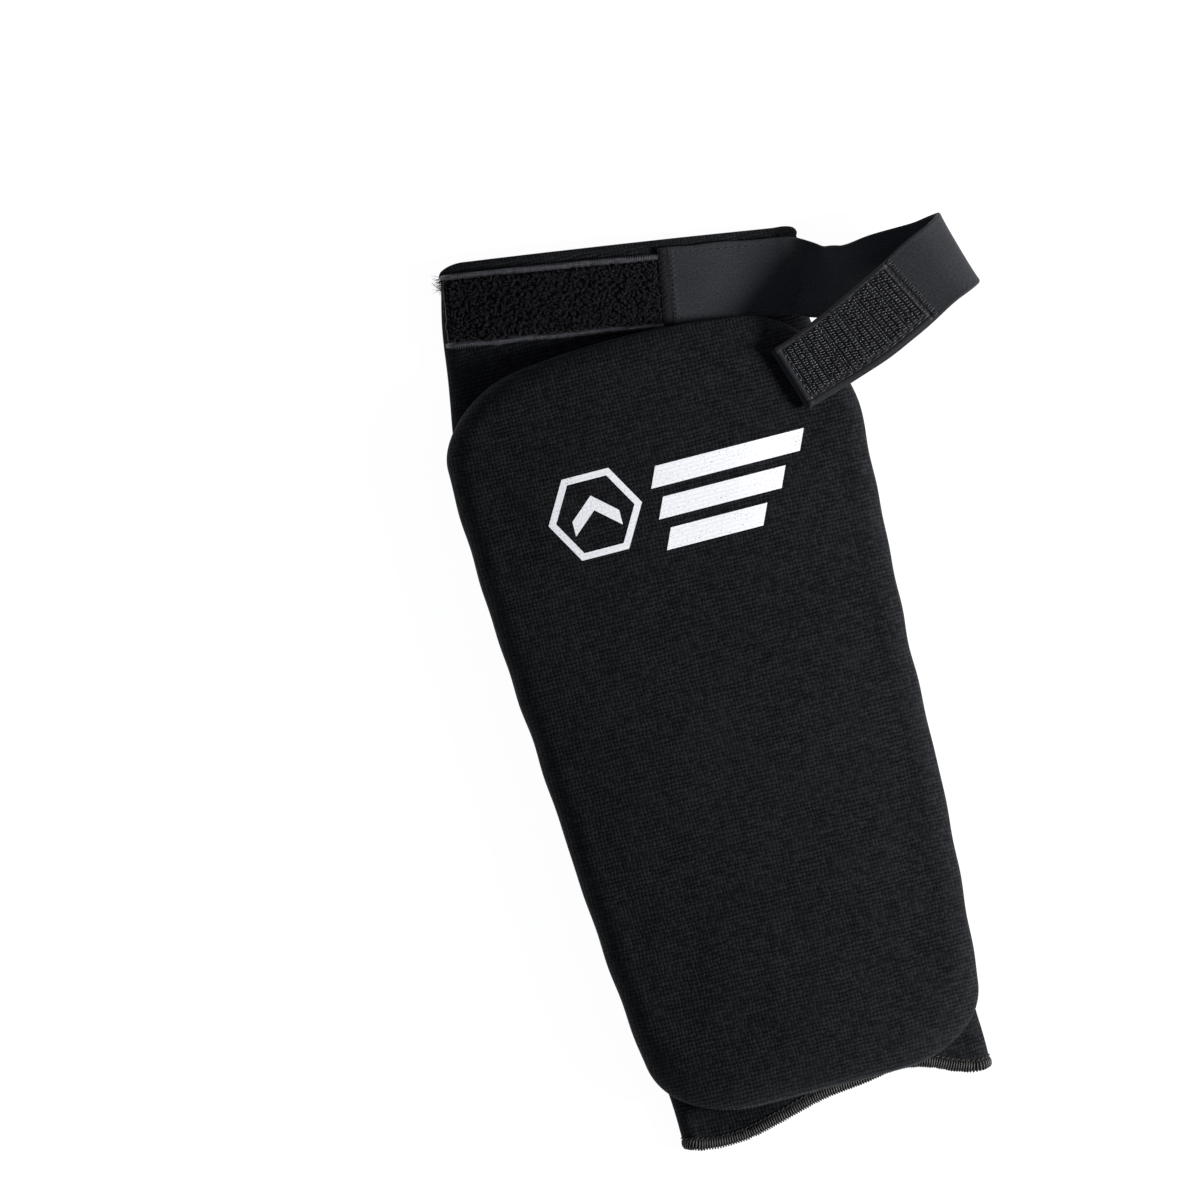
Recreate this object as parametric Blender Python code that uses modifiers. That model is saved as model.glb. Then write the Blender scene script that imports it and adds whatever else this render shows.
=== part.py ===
"""Forearm guard: an elastic knit sleeve, a foam pad in a sewn-on knit cover, and a hook-and-loop strap.

The guard lies on its back panel. +X runs across it towards the free strap, +Y towards the elbow
opening and +Z out of the pad. The origin is on the underside of the back panel, where it rests.
All lengths are written in millimetres and turned into metres when a mesh is made.
"""

import math

import bmesh
import bpy
import numpy as np
from mathutils import Matrix, Vector

MM = 0.001
GAP = 0.35  # air between pieces that touch on the real guard

# Sleeve, a flattened knit tube
KNIT = 1.5
BACK_LEVEL = KNIT / 2
WRIST_END_Y = -147.0
ELBOW_END_Y = 147.0
ELBOW_SLANT = -0.142  # the elbow opening is cut on a slant
SIDE_JOIN_Z = 4.0
SIDE_LIP = 0.9  # upright strip of each panel along the side seam
SHOULDER_Z = 8.5  # height of the front panel where it turns down to the side
FLAT_SHARE, FLAT_REACH = 0.625, 0.89  # share of the grid, and of the half width, before that turn
CROWN = ((-150, 14.5), (-60, 13.0), (70, 13.0), (158, 15.5))  # Y and the front panel's height there
SLEEVE_LEFT = (  # the left edge's X at each Y
    (-149, -50.5),
    (-127, -51.5),
    (-100, -57.5),
    (-50, -61.5),
    (30, -66.5),
    (95, -67),
    (113, -64),
    (157, -56.5),
)
SLEEVE_RIGHT = (
    (-149, 54.5),
    (-122, 54.5),
    (-95, 58),
    (-50, 60.5),
    (30, 63),
    (85, 64),
    (112, 60),
    (140, 61.5),
)
SLANT_REACH = 53.0  # the slant and the hem's wave stop here, where the sides turn
HEM_LIFT, HEM_LIFT_X, HEM_LIFT_WIDTH = 7.0, 24.0, 17.0  # the wrist hem waves back here
SEAM_ROLL, SEAM_INSET = 0.8, 2.3
WRIST_HEM, ELBOW_HEM = 1.6, 1.2  # radii
HEM_AIR = GAP + 0.2
PANEL_GRID = 16

# Pad
FOAM = 11.0
COVER = 1.3
PAD_WRIST_Y, PAD_ELBOW_Y = -139.0, 118.5
PAD_CORNER_X, PAD_CORNER_Y = 30.0, 22.0
PAD_TOP_SAG, PAD_TOP_X = 0.0018, -5.0  # the elbow end of the pad curves away from the band
PAD_HUG = 0.9  # share of the front panel's curve that the foam's underside follows
PAD_SEAM_INSET = 5.0
PAD_LEFT = ((-140, -54), (-110, -57.8), (-75, -61.2), (-22, -65), (54, -69.8), (98, -71), (120, -70))
PAD_RIGHT = ((-140, 56), (-98, 59.6), (-57, 62.4), (0, 63.8), (55, 66.2), (90, 67.6), (120, 66.5))

# Webbing, hook tape and loop tape
STRAP_WIDTH = 25.0
WEBBING = 1.4
BAND_Y_AT_ZERO, BAND_SLOPE = 134.2, -0.1617  # centre line of the loop tape and the sewn strap
BAND_EDGE_FALL = 0.85  # the band falls this much over the turned-down side of the sleeve
LOOP_TAPE_X = (-56.0, 12.4)
ANCHOR_X = (13.2, 59.6)
STRAP_START_X, EDGE_Z = 60.3, 9.8  # where the strap leaves the sleeve
WRAP_PIVOT = Vector((63.0, 124.3, 3.0))
FOLD_HEADING = 106.0  # direction of the strap's fold line, in degrees from +X
FOLD_HINGE = 45.0  # the strap's links meet this far round the fold, each way, in degrees
FOLD_RADIUS = 10.5
FOLD_CENTRE = Vector((101.6, 116.9, 21.5))
FOLD_LEAN = math.radians(7.5)  # the strap crosses its fold line at this lean
TAB_END = Vector((47.0, 91.2, 28.2))
HINGE_AIR = 1.1
HOOK_LENGTH, HOOK_WIDTH = 49.0, 21.0
HOOK_BASE, HOOK_PILE = 0.7, 1.1
TURNED_END, TURNED_SHARE = 0.8, 0.35  # thickness, and length as a share of the hook tape's
LOOP_BASE, LOOP_PILE, LOOP_MARGIN = 0.7, 1.5, 2.5
THREAD = 0.5
STITCH_INSET = 1.5
INK = 0.25

# Printed mark on the pad: a plain hexagon with a chevron, and three bars
BADGE_CENTRE = (-27.0, 64.0)
STRIPE_LEFT, STRIPE_HEIGHT, STRIPE_SLANT = -7.0, 7.0, 0.45
STRIPES = (  # name, lowest Y and length
    ("print_stripe_upper", 67.5, 51.0),
    ("print_stripe_middle", 57.0, 42.0),
    ("print_stripe_lower", 46.5, 33.0),
)
HEXAGON_RADIUS, HEXAGON_LINE = 16.0, 2.4

KNIT_BLACK = ("knit", (0.012, 0.012, 0.014), 0.95)
FOAM_GREY = ("foam", (0.06, 0.06, 0.065), 0.9)
WEBBING_BLACK = ("webbing", (0.03, 0.03, 0.033), 0.7)
LOOP_BLACK = ("loop", (0.01, 0.01, 0.011), 1.0)
HOOK_BLACK = ("hook", (0.025, 0.025, 0.03), 0.45)
THREAD_BLACK = ("thread", (0.035, 0.035, 0.035), 0.6)
INK_WHITE = ("ink", (0.9, 0.9, 0.9), 0.6)


def clear_scene():
    for obj in list(bpy.data.objects):
        bpy.data.objects.remove(obj)


def material(look):
    name, colour, roughness = look
    found = bpy.data.materials.get(name)
    if found:
        return found
    made = bpy.data.materials.new(name)
    made.use_nodes = True
    shader = made.node_tree.nodes["Principled BSDF"]
    shader.inputs["Base Color"].default_value = (*colour, 1)
    shader.inputs["Roughness"].default_value = roughness
    return made


def part(name, data, look, smooth=True):
    """A named object in the guard's collection, with its look."""
    obj = bpy.data.objects.new(name, data)
    guard.objects.link(obj)
    data.materials.append(material(look))
    if smooth and obj.type == "MESH":
        data.shade_smooth()
        data.set_sharp_from_angle(angle=math.radians(50))
    return obj


def through(stations, at):
    """A smooth curve through (position, value) stations, read at one or many positions."""
    place, value = np.array(stations, float).T
    slope = np.gradient(value, place)
    at = np.clip(np.asarray(at, float), place[0], place[-1])
    i = np.clip(np.searchsorted(place, at) - 1, 0, len(place) - 2)
    span = place[i + 1] - place[i]
    t = (at - place[i]) / span
    start = (2 * t**3 - 3 * t**2 + 1) * value[i] + (t**3 - 2 * t**2 + t) * span * slope[i]
    return start + (3 * t**2 - 2 * t**3) * value[i + 1] + (t**3 - t**2) * span * slope[i + 1]


def sleeve_edges(y):
    return float(through(SLEEVE_LEFT, y)), float(through(SLEEVE_RIGHT, y))


def crown(y):
    """Height of the middle of the front panel."""
    return float(through(CROWN, y))


def sleeve_row(v, u):
    """Y of a point on the sleeve: v from the wrist hem to the elbow opening, u from side to side."""
    side = SLANT_REACH * min(max(u / FLAT_SHARE, -1), 1)
    low = WRIST_END_Y + HEM_LIFT * math.exp(-(((side - HEM_LIFT_X) / HEM_LIFT_WIDTH) ** 2))
    return low + v * (ELBOW_END_Y + ELBOW_SLANT * side - low)


def across_sleeve(x, y):
    """How far a point is across the sleeve: -1 at its left edge and 1 at its right."""
    left, right = sleeve_edges(y)
    return (2 * x - left - right) / (right - left)


def front_height(x, y):
    """Middle of the front panel's cloth over a point, away from its turned-down sides."""
    return crown(y) - (crown(y) - SHOULDER_Z) * (across_sleeve(x, y) / FLAT_REACH) ** 2


def pad_floor(x, y):
    """Underside of the foam, a little over the front panel."""
    fall = (crown(y) - SHOULDER_Z) * PAD_HUG * across_sleeve(x, y) ** 2
    return crown(y) - fall + KNIT / 2 + 1.5 * GAP


def sleeve_point(v, u, front):
    """A point on the middle of a panel's cloth, which is flat and then turns to meet the other panel."""
    y = sleeve_row(v, u)
    left, right = sleeve_edges(y)
    turn = max(abs(u) - FLAT_SHARE, 0) / (1 - FLAT_SHARE)
    angle = min(turn * 1.5, 1) * math.pi / 2
    reach = FLAT_REACH * min(abs(u) / FLAT_SHARE, 1) + (1 - FLAT_REACH) * math.sin(angle)
    x = (left + right) / 2 + math.copysign((right - left) / 2 * reach, u)
    flat = front_height(x, y) if front else BACK_LEVEL
    if turn == 0:
        return Vector((x, y, flat))
    side = 1 if front else -1
    start = SHOULDER_Z if front else BACK_LEVEL
    lip = SIDE_JOIN_Z + side * (GAP / 2 + SIDE_LIP * (1 - max(turn * 3 - 2, 0)))
    return Vector((x, y, start + (lip - start) * (1 - math.cos(angle))))


def grid(name, columns, rows, place, look):
    """A grid whose points are set by place(u, v), each from -1 to 1 along its side."""
    shape = bmesh.new()
    bmesh.ops.create_grid(shape, x_segments=columns, y_segments=rows, size=1)
    for vert in shape.verts:
        vert.co = place(vert.co.x, vert.co.y) * MM
    data = bpy.data.meshes.new(name)
    shape.to_mesh(data)
    shape.free()
    return part(name, data, look)


def solidify(obj, thickness, offset=0.0):
    """Gives an open sheet its thickness, to both sides or, at offset 1, outwards."""
    thick = obj.modifiers.new("thickness", "SOLIDIFY")
    thick.thickness = thickness * MM
    thick.offset = offset
    thick.use_even_offset = True


def subdivide(obj, levels):
    rounded = obj.modifiers.new("rounding", "SUBSURF")
    rounded.levels = levels
    rounded.render_levels = levels


def tube(name, points, radius, look, closed=False, resolution=1):
    """A round thread, seam or hem along points."""
    curve = bpy.data.curves.new(name, "CURVE")
    curve.dimensions = "3D"
    curve.bevel_depth = radius * MM
    curve.bevel_resolution = resolution
    curve.use_fill_caps = not closed
    spline = curve.splines.new("POLY")
    spline.points.add(len(points) - 1)
    for target, point in zip(spline.points, points):
        target.co = (*(point * MM), 1)
    spline.use_cyclic_u = closed
    return part(name, curve, look)


def build_sleeve():
    for front, name in ((True, "sleeve_front_panel"), (False, "sleeve_back_panel")):
        def place(u, v, front=front):
            return sleeve_point((v + 1) / 2, u, front)

        solidify(grid(name, PANEL_GRID, PANEL_GRID, place, KNIT_BLACK), KNIT)
    for side, name in ((-1, "side_seam_left"), (1, "side_seam_right")):
        path = []
        for v in (0.02, *np.arange(1, PANEL_GRID) / PANEL_GRID, 0.98):
            edge = sleeve_point(v, side, True)
            path.append(Vector((edge.x - side * SEAM_INSET, edge.y, SIDE_JOIN_Z)))
        tube(name, path, SEAM_ROLL, THREAD_BLACK)


def opening_loop(v, outwards, radius):
    """Points round an end of the sleeve, just beyond the cloth's edge."""
    points = []
    for front in (True, False):
        across = np.linspace(-1, 1, PANEL_GRID + 1) * (1 if front else -1)
        for u in across[:-1]:
            point = sleeve_point(v, u, front)
            point.y += outwards * (radius + HEM_AIR)
            point.z = max(point.z, radius + 0.1)
            points.append(point)
    return points


def build_hems():
    wrist = opening_loop(0, -1, WRIST_HEM)
    tube("wrist_overlock_hem", wrist, WRIST_HEM, THREAD_BLACK, closed=True)
    elbow = opening_loop(1, 1, ELBOW_HEM)
    tube("elbow_rolled_hem", elbow, ELBOW_HEM, KNIT_BLACK, closed=True)


def pad_outline(u, v, inset=0.0):
    """X and Y of the pad at u across and v along, each from -1 to 1, with rounded corners."""
    length = PAD_ELBOW_Y - PAD_WRIST_Y
    middle = (PAD_ELBOW_Y + PAD_WRIST_Y) / 2
    y = middle + v * length / 2
    from_end = min(PAD_ELBOW_Y - y, y - PAD_WRIST_Y)
    bite = max(PAD_CORNER_Y - from_end, 0) / PAD_CORNER_Y
    cut = PAD_CORNER_X * (1 - math.sqrt(max(1 - bite**2, 0)))
    left = float(through(PAD_LEFT, y)) + cut + inset
    right = float(through(PAD_RIGHT, y)) - cut - inset
    x = (left + right) / 2 + u * (right - left) / 2
    return x, y - max(v, 0) * PAD_TOP_SAG * (x - PAD_TOP_X) ** 2


def pad_row(v):
    """Rows crowd towards the ends of the pad, where its corners turn."""
    return math.sin(v * math.pi / 2) * 0.45 + v * 0.55


def build_foam():
    def middle(u, v):
        x, y = pad_outline(u, pad_row(v))
        return Vector((x, y, pad_floor(x, y) + FOAM / 2))

    foam = grid("foam_pad", 6, 10, middle, FOAM_GREY)
    solidify(foam, FOAM)
    foam.modifiers["thickness"].use_even_offset = False
    subdivide(foam, 1)
    bpy.context.view_layer.update()
    return foam


def build_cover(foam):
    """A skin over the top and sides of the foam, open underneath."""
    graph = bpy.context.evaluated_depsgraph_get()
    skin = bpy.data.meshes.new_from_object(foam.evaluated_get(graph))
    skin.name = "pad_cover"
    shape = bmesh.new()
    shape.from_mesh(skin)
    shape.normal_update()
    under = [face for face in shape.faces if face.normal.z < -0.6]
    bmesh.ops.delete(shape, geom=under, context="FACES")
    shape.normal_update()
    for vert, normal in [(vert, vert.normal.copy()) for vert in shape.verts]:
        vert.co += normal * GAP * MM
    shape.to_mesh(skin)
    shape.free()
    skin.materials.clear()
    cover = part("pad_cover", skin, KNIT_BLACK)
    solidify(cover, COVER, offset=1.0)
    bpy.context.view_layer.update()
    return cover


def build_pad_seam():
    """The thread round the pad, in the hollow under its rounded edge."""
    seam = []
    for angle in np.linspace(0, 2 * math.pi, 56, endpoint=False):
        u, v = math.cos(angle), math.sin(angle)
        stretch = 1 / max(abs(u), abs(v))
        x, y = pad_outline(u * stretch, pad_row(v * stretch), PAD_SEAM_INSET)
        near_end = max(abs(v * stretch) - 0.9, 0) / 0.1
        y -= math.copysign(0.7 * PAD_SEAM_INSET, y) * near_end
        seam.append(Vector((x, y, front_height(x, y) + KNIT / 2 + 2 * GAP + THREAD / 2)))
    tube("pad_seam_thread", seam, THREAD / 2, THREAD_BLACK, closed=True)


def band_y(x):
    return BAND_Y_AT_ZERO + BAND_SLOPE * x


def on_band(x, offset, lift):
    """A point on the sewn band: x along it, offset across it and lift over the front panel's cloth."""
    lean = math.atan(BAND_SLOPE)
    place = Vector((x - math.sin(lean) * offset, band_y(x) + math.cos(lean) * offset, 0))
    across = abs(across_sleeve(place.x, place.y))
    flat = min(across / FLAT_REACH, 1)
    place.z = crown(place.y) - (crown(place.y) - SHOULDER_Z) * flat**2 + KNIT / 2 + lift
    place.z -= BAND_EDGE_FALL * max(across - FLAT_REACH, 0) / (1 - FLAT_REACH)
    return place


def band_sheet(name, span, width, base, thickness, look, columns):
    """A flat piece of the band over span along X, its underside base over the cloth."""
    middle = (span[0] + span[1]) / 2
    reach = (span[1] - span[0]) / 2

    def place(u, v):
        return on_band(middle + u * reach, v * width / 2, base + thickness / 2)

    solidify(grid(name, columns, 2, place, look), thickness)


def band_stitches(name, xs, offsets, lift):
    """A row of stitches on the band, through the points given by xs and offsets."""
    points = [on_band(x, offset, lift + THREAD / 2) for x, offset in zip(xs, offsets)]
    tube(name, points, THREAD / 2, THREAD_BLACK)


def build_loop_tape():
    band_sheet("loop_tape_base", LOOP_TAPE_X, STRAP_WIDTH, 2 * GAP, LOOP_BASE, WEBBING_BLACK, 10)
    start, end = LOOP_TAPE_X[0] + 2, LOOP_TAPE_X[1] - 0.6
    top = 3 * GAP + LOOP_BASE
    band_sheet("loop_pile", (start, end), STRAP_WIDTH - 2 * LOOP_MARGIN, top, LOOP_PILE, LOOP_BLACK, 10)
    along = np.linspace(start, end, 10)
    for side, name in ((1, "loop_tape_upper_stitching"), (-1, "loop_tape_lower_stitching")):
        band_stitches(name, along, [side * (STRAP_WIDTH / 2 - STITCH_INSET)] * 10, top)
    across = np.linspace(-1, 1, 4) * (STRAP_WIDTH / 2 - 2 * STITCH_INSET)
    band_stitches("loop_tape_end_stitching", [LOOP_TAPE_X[0] + 1] * 4, across, top)


def build_anchor():
    """The part of the elastic strap that is sewn to the front panel."""
    band_sheet("strap_anchor", ANCHOR_X, STRAP_WIDTH, 2 * GAP, WEBBING, WEBBING_BLACK, 8)
    top = 3 * GAP + WEBBING
    along = np.linspace(ANCHOR_X[0] + 3, ANCHOR_X[1] - 8, 8)
    for side, name in ((1, "strap_upper_stitching"), (-1, "strap_lower_stitching")):
        band_stitches(name, along, [side * (STRAP_WIDTH / 2 - STITCH_INSET)] * 8, top)
    across = np.linspace(-1, 1, 4) * (STRAP_WIDTH / 2 - STITCH_INSET - 1)
    band_stitches("strap_start_stitching", [ANCHOR_X[0] + STITCH_INSET] * 4, across, top)


def hermite(start, end, start_slope, end_slope, count):
    """Points on a cubic from start to end, the ends included."""
    found = []
    for t in np.linspace(0, 1, count):
        near = start * (2 * t**3 - 3 * t**2 + 1) + start_slope * (t**3 - 2 * t**2 + t)
        found.append(near + end * (3 * t**2 - 2 * t**3) + end_slope * (t**3 - t**2))
    return found


def heading(degrees, climb=0.0):
    angle = math.radians(degrees)
    return Vector((math.cos(angle), math.sin(angle), climb))


def fold(degrees):
    """A point of the strap's fold: -90 where it starts to turn up and 90 where it has turned back."""
    angle = math.radians(degrees)
    outwards = heading(FOLD_HEADING - 90)
    turn = outwards * math.cos(angle) + Vector((0, 0, math.sin(angle)))
    pitch = -FOLD_RADIUS * math.tan(FOLD_LEAN)
    return FOLD_CENTRE + FOLD_RADIUS * turn + heading(FOLD_HEADING) * pitch * angle


def strap_paths():
    """Centre points of the free strap's three lengths: out, through the fold, and back."""
    edge = Vector((STRAP_START_X, band_y(STRAP_START_X), EDGE_Z))
    out = hermite(edge, fold(-90), heading(-9, -0.1) * 42, heading(8.5) * 42, 9)
    back = hermite(fold(90), TAB_END, heading(203.5, 0.05) * 60, heading(203.5, -0.08) * 60, 12)
    return (
        out + [fold(angle) for angle in (-78, -66, -56, -FOLD_HINGE)],
        [fold(angle) for angle in np.linspace(-FOLD_HINGE, FOLD_HINGE, 7)],
        [fold(angle) for angle in (FOLD_HINGE, 56, 66, 78)] + back,
    )


def width_way(points, i):
    """Unit vectors across and along the strap at a point of its path, swinging from band to tab."""
    out = min(max((points[i].x - STRAP_START_X) / 40, 0), 1)
    rise = min(max((points[i].z - 11) / (2 * FOLD_RADIUS), 0), 1)
    hint = heading(98 + 15.5 * rise if points[i].z > 11.5 else 81 + 17 * out)
    ahead = (points[min(i + 1, len(points) - 1)] - points[max(i - 1, 0)]).normalized()
    return (hint - ahead * hint.dot(ahead)).normalized(), ahead


def trimmed(points, start, end):
    """The path with lengths start and end cut off its ends."""
    steps = [(b - a).length for a, b in zip(points, points[1:])]
    along = np.concatenate([[0], np.cumsum(steps)])
    keep = [p for p, s in zip(points, along) if start + 0.5 < s < along[-1] - end - 0.5]

    def at(distance):
        i = min(max(int(np.searchsorted(along, distance)) - 1, 0), len(points) - 2)
        return points[i].lerp(points[i + 1], (distance - along[i]) / steps[i])

    return [at(start), *keep, at(along[-1] - end)]


def hinge(name, place, parent=None):
    """An empty on a joint's axis. What moves with the joint is its child."""
    empty = bpy.data.objects.new(name, None)
    guard.objects.link(empty)
    carry(empty, parent)
    empty.matrix_world = Matrix.Translation(place * MM)
    return empty


def carry(obj, parent):
    """Makes obj a child of parent without moving it."""
    if parent is None:
        return
    bpy.context.view_layer.update()
    obj.parent = parent
    obj.matrix_parent_inverse = parent.matrix_world.inverted()


def ribbon(name, points, width, thickness, look, parent, lift=0.0):
    """A flat strip along points, its middle moved by lift towards the inside of the fold."""
    shape = bmesh.new()
    bmesh.ops.create_grid(shape, x_segments=len(points) - 1, y_segments=2, size=1)
    for vert in shape.verts:
        i = round((vert.co.x + 1) / 2 * (len(points) - 1))
        across, ahead = width_way(points, i)
        vert.co = (points[i] + across * vert.co.y * width / 2 + ahead.cross(across) * lift) * MM
    data = bpy.data.meshes.new(name)
    shape.to_mesh(data)
    shape.free()
    strip = part(name, data, look)
    solidify(strip, thickness)
    carry(strip, parent)


def build_strap():
    out, turn, back = strap_paths()
    wrap = hinge("strap_wrap", WRAP_PIVOT)
    ribbon("strap_reach_webbing", trimmed(out, 0, HINGE_AIR), STRAP_WIDTH, WEBBING, WEBBING_BLACK, wrap)
    lower = hinge("loop_open", fold(-FOLD_HINGE), wrap)
    turn = trimmed(turn, HINGE_AIR, HINGE_AIR)
    ribbon("strap_loop_webbing", turn, STRAP_WIDTH, WEBBING, WEBBING_BLACK, lower)
    upper = hinge("return_open", fold(FOLD_HINGE), lower)
    back = trimmed(back, HINGE_AIR, 0)
    ribbon("strap_return_webbing", back, STRAP_WIDTH, WEBBING, WEBBING_BLACK, upper)
    build_tab(back, upper)


def build_tab(back, parent):
    """What is sewn to the strap's free end: its turned-in end and, on the other face, the hook tape."""
    length = sum((b - a).length for a, b in zip(back, back[1:]))
    turned = trimmed(back, length - HOOK_LENGTH * TURNED_SHARE, 0.3)
    lift = WEBBING / 2 + GAP + TURNED_END / 2
    ribbon("strap_end_turned_under", turned, STRAP_WIDTH - 1, TURNED_END, WEBBING_BLACK, parent, lift)

    tape = trimmed(back, length - HOOK_LENGTH, 0.8)
    lift = -(WEBBING / 2 + GAP + HOOK_BASE / 2)
    ribbon("hook_tape_base", tape, HOOK_WIDTH, HOOK_BASE, HOOK_BLACK, parent, lift)
    lift = -(WEBBING / 2 + 2 * GAP + HOOK_BASE + HOOK_PILE / 2)
    field = trimmed(tape, 2.2, 2.2)
    ribbon("hook_field", field, HOOK_WIDTH - 4, HOOK_PILE, HOOK_BLACK, parent, lift)

    lift = -(WEBBING / 2 + 2 * GAP + HOOK_BASE + THREAD / 2)
    edge = trimmed(tape, 1, 1)
    stitches = []
    for side, order in ((1, range(len(edge))), (-1, reversed(range(len(edge))))):
        for i in order:
            across, ahead = width_way(edge, i)
            stitches.append(edge[i] + across * side * (HOOK_WIDTH / 2 - 1) + ahead.cross(across) * lift)
    carry(tube("hook_tape_stitching", stitches, THREAD / 2, THREAD_BLACK, closed=True), parent)


def ink(name, shape, cover):
    """A patch of printed ink: a flat outline laid on the top of the cover."""
    surface = cover.evaluated_get(bpy.context.evaluated_depsgraph_get())
    for vert in shape.verts:
        vert.co *= MM
        hit = surface.ray_cast((vert.co.x, vert.co.y, 0.1), (0, 0, -1))
        vert.co.z = hit[1].z + (GAP + INK) * MM
    data = bpy.data.meshes.new(name)
    shape.to_mesh(data)
    shape.free()
    solidify(part(name, data, INK_WHITE, smooth=False), INK)


def build_badge(cover):
    middle = Vector((*BADGE_CENTRE, 0))
    ring = bmesh.new()
    bmesh.ops.create_circle(ring, cap_ends=True, segments=6, radius=HEXAGON_RADIUS)
    core = ring.faces[:]
    bmesh.ops.inset_region(ring, faces=core, thickness=HEXAGON_LINE, use_boundary=True)
    bmesh.ops.delete(ring, geom=core, context="FACES_ONLY")
    bmesh.ops.translate(ring, verts=ring.verts, vec=middle)
    ink("print_hexagon", ring, cover)

    chevron = bmesh.new()
    bmesh.ops.create_grid(chevron, x_segments=4, y_segments=1, size=1)
    half = HEXAGON_RADIUS / 2
    for vert in chevron.verts:
        rise = (0.5 - abs(vert.co.x) * 0.875 + vert.co.y * 0.3) * half
        vert.co = middle + Vector((vert.co.x * half, rise, 0))
    ink("print_chevron", chevron, cover)


def build_stripes(cover):
    for name, low, length in STRIPES:
        bar = bmesh.new()
        bmesh.ops.create_grid(bar, x_segments=6, y_segments=1, size=1)
        for vert in bar.verts:
            up = (vert.co.y + 1) / 2 * STRIPE_HEIGHT
            along = (vert.co.x + 1) / 2 * length
            vert.co = Vector((STRIPE_LEFT + along + up * STRIPE_SLANT, low + up, 0))
        ink(name, bar, cover)


clear_scene()
guard = bpy.data.collections.new("forearm_guard")
bpy.context.scene.collection.children.link(guard)
build_sleeve()
build_hems()
pad_cover = build_cover(build_foam())
build_pad_seam()
build_loop_tape()
build_anchor()
build_strap()
build_badge(pad_cover)
build_stripes(pad_cover)
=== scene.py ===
"""Looks of the forearm guard: its knit sleeve, padded front, loop tape, elastic strap and hook tape.

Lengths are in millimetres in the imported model's own frame, and become metres when a mesh is made.
A piece of cloth carries a point attribute named cloth: how far across and along the flat cloth it is.
"""

import logging
import math
from dataclasses import dataclass
from enum import Enum
from typing import Sequence

import bpy
import numpy as np
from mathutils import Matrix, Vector
from mathutils.bvhtree import BVHTree


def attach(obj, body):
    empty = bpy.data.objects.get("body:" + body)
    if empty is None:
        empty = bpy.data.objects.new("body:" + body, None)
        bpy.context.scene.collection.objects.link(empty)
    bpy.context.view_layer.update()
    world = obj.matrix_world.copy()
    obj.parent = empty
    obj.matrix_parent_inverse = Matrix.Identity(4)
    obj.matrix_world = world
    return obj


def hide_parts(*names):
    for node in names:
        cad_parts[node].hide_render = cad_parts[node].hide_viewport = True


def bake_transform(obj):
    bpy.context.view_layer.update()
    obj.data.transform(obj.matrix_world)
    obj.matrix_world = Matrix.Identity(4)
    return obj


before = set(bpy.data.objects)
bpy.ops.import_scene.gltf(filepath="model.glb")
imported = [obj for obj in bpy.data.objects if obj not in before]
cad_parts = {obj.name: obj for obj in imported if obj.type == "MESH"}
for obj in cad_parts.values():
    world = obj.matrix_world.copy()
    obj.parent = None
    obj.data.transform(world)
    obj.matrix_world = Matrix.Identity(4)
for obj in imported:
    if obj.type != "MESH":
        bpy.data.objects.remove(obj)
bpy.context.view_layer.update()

MM = 0.001
TURN = 2 * math.pi
UP = np.array([0.0, 0.0, 1.0])
LOG = logging.getLogger("forearm_guard")


# ---------------------------------------------------------------- shader expressions


class Wire:
    """A shader socket for use in Python expressions: each operator adds one Math node."""

    def __init__(self, graph: "Graph", socket: bpy.types.NodeSocket) -> None:
        """Wraps a socket of the graph.

        Args:
            graph: the material's graph.
            socket: an output socket in it.
        """
        self.graph = graph
        self.socket = socket

    def maths(self, operation: str, *others: "Wire | float") -> "Wire":
        """Adds a Math node with this wire as its first input.

        Args:
            operation: the node's operation.
            others: its other inputs.

        Returns:
            The node's value.
        """
        return self.graph.node("ShaderNodeMath", {"operation": operation}, [self, *others])

    def _reflected(self, operation: str, other: float) -> "Wire":
        """The same with a number as the first input."""
        return self.graph.node("ShaderNodeMath", {"operation": operation}, [other, self])

    def __add__(self, other: "Wire | float") -> "Wire":
        """Sum."""
        return self.maths("ADD", other)

    def __radd__(self, other: float) -> "Wire":
        """Sum with a number first."""
        return self._reflected("ADD", other)

    def __sub__(self, other: "Wire | float") -> "Wire":
        """Difference."""
        return self.maths("SUBTRACT", other)

    def __rsub__(self, other: float) -> "Wire":
        """Difference with a number first."""
        return self._reflected("SUBTRACT", other)

    def __mul__(self, other: "Wire | float") -> "Wire":
        """Product."""
        return self.maths("MULTIPLY", other)

    def __rmul__(self, other: float) -> "Wire":
        """Product with a number first."""
        return self._reflected("MULTIPLY", other)

    def __truediv__(self, other: "Wire | float") -> "Wire":
        """Quotient."""
        return self.maths("DIVIDE", other)

    def __gt__(self, other: "Wire | float") -> "Wire":
        """One where this is greater, and zero elsewhere."""
        return self.maths("GREATER_THAN", other)

    def wave(self) -> "Wire":
        """A smooth wave from 0 to 1 that repeats at each whole number."""
        return (self * TURN).maths("SINE") * 0.5 + 0.5

    def kept(self) -> "Wire":
        """The value held between 0 and 1."""
        return self.graph.node("ShaderNodeClamp", {}, [self])


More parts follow.
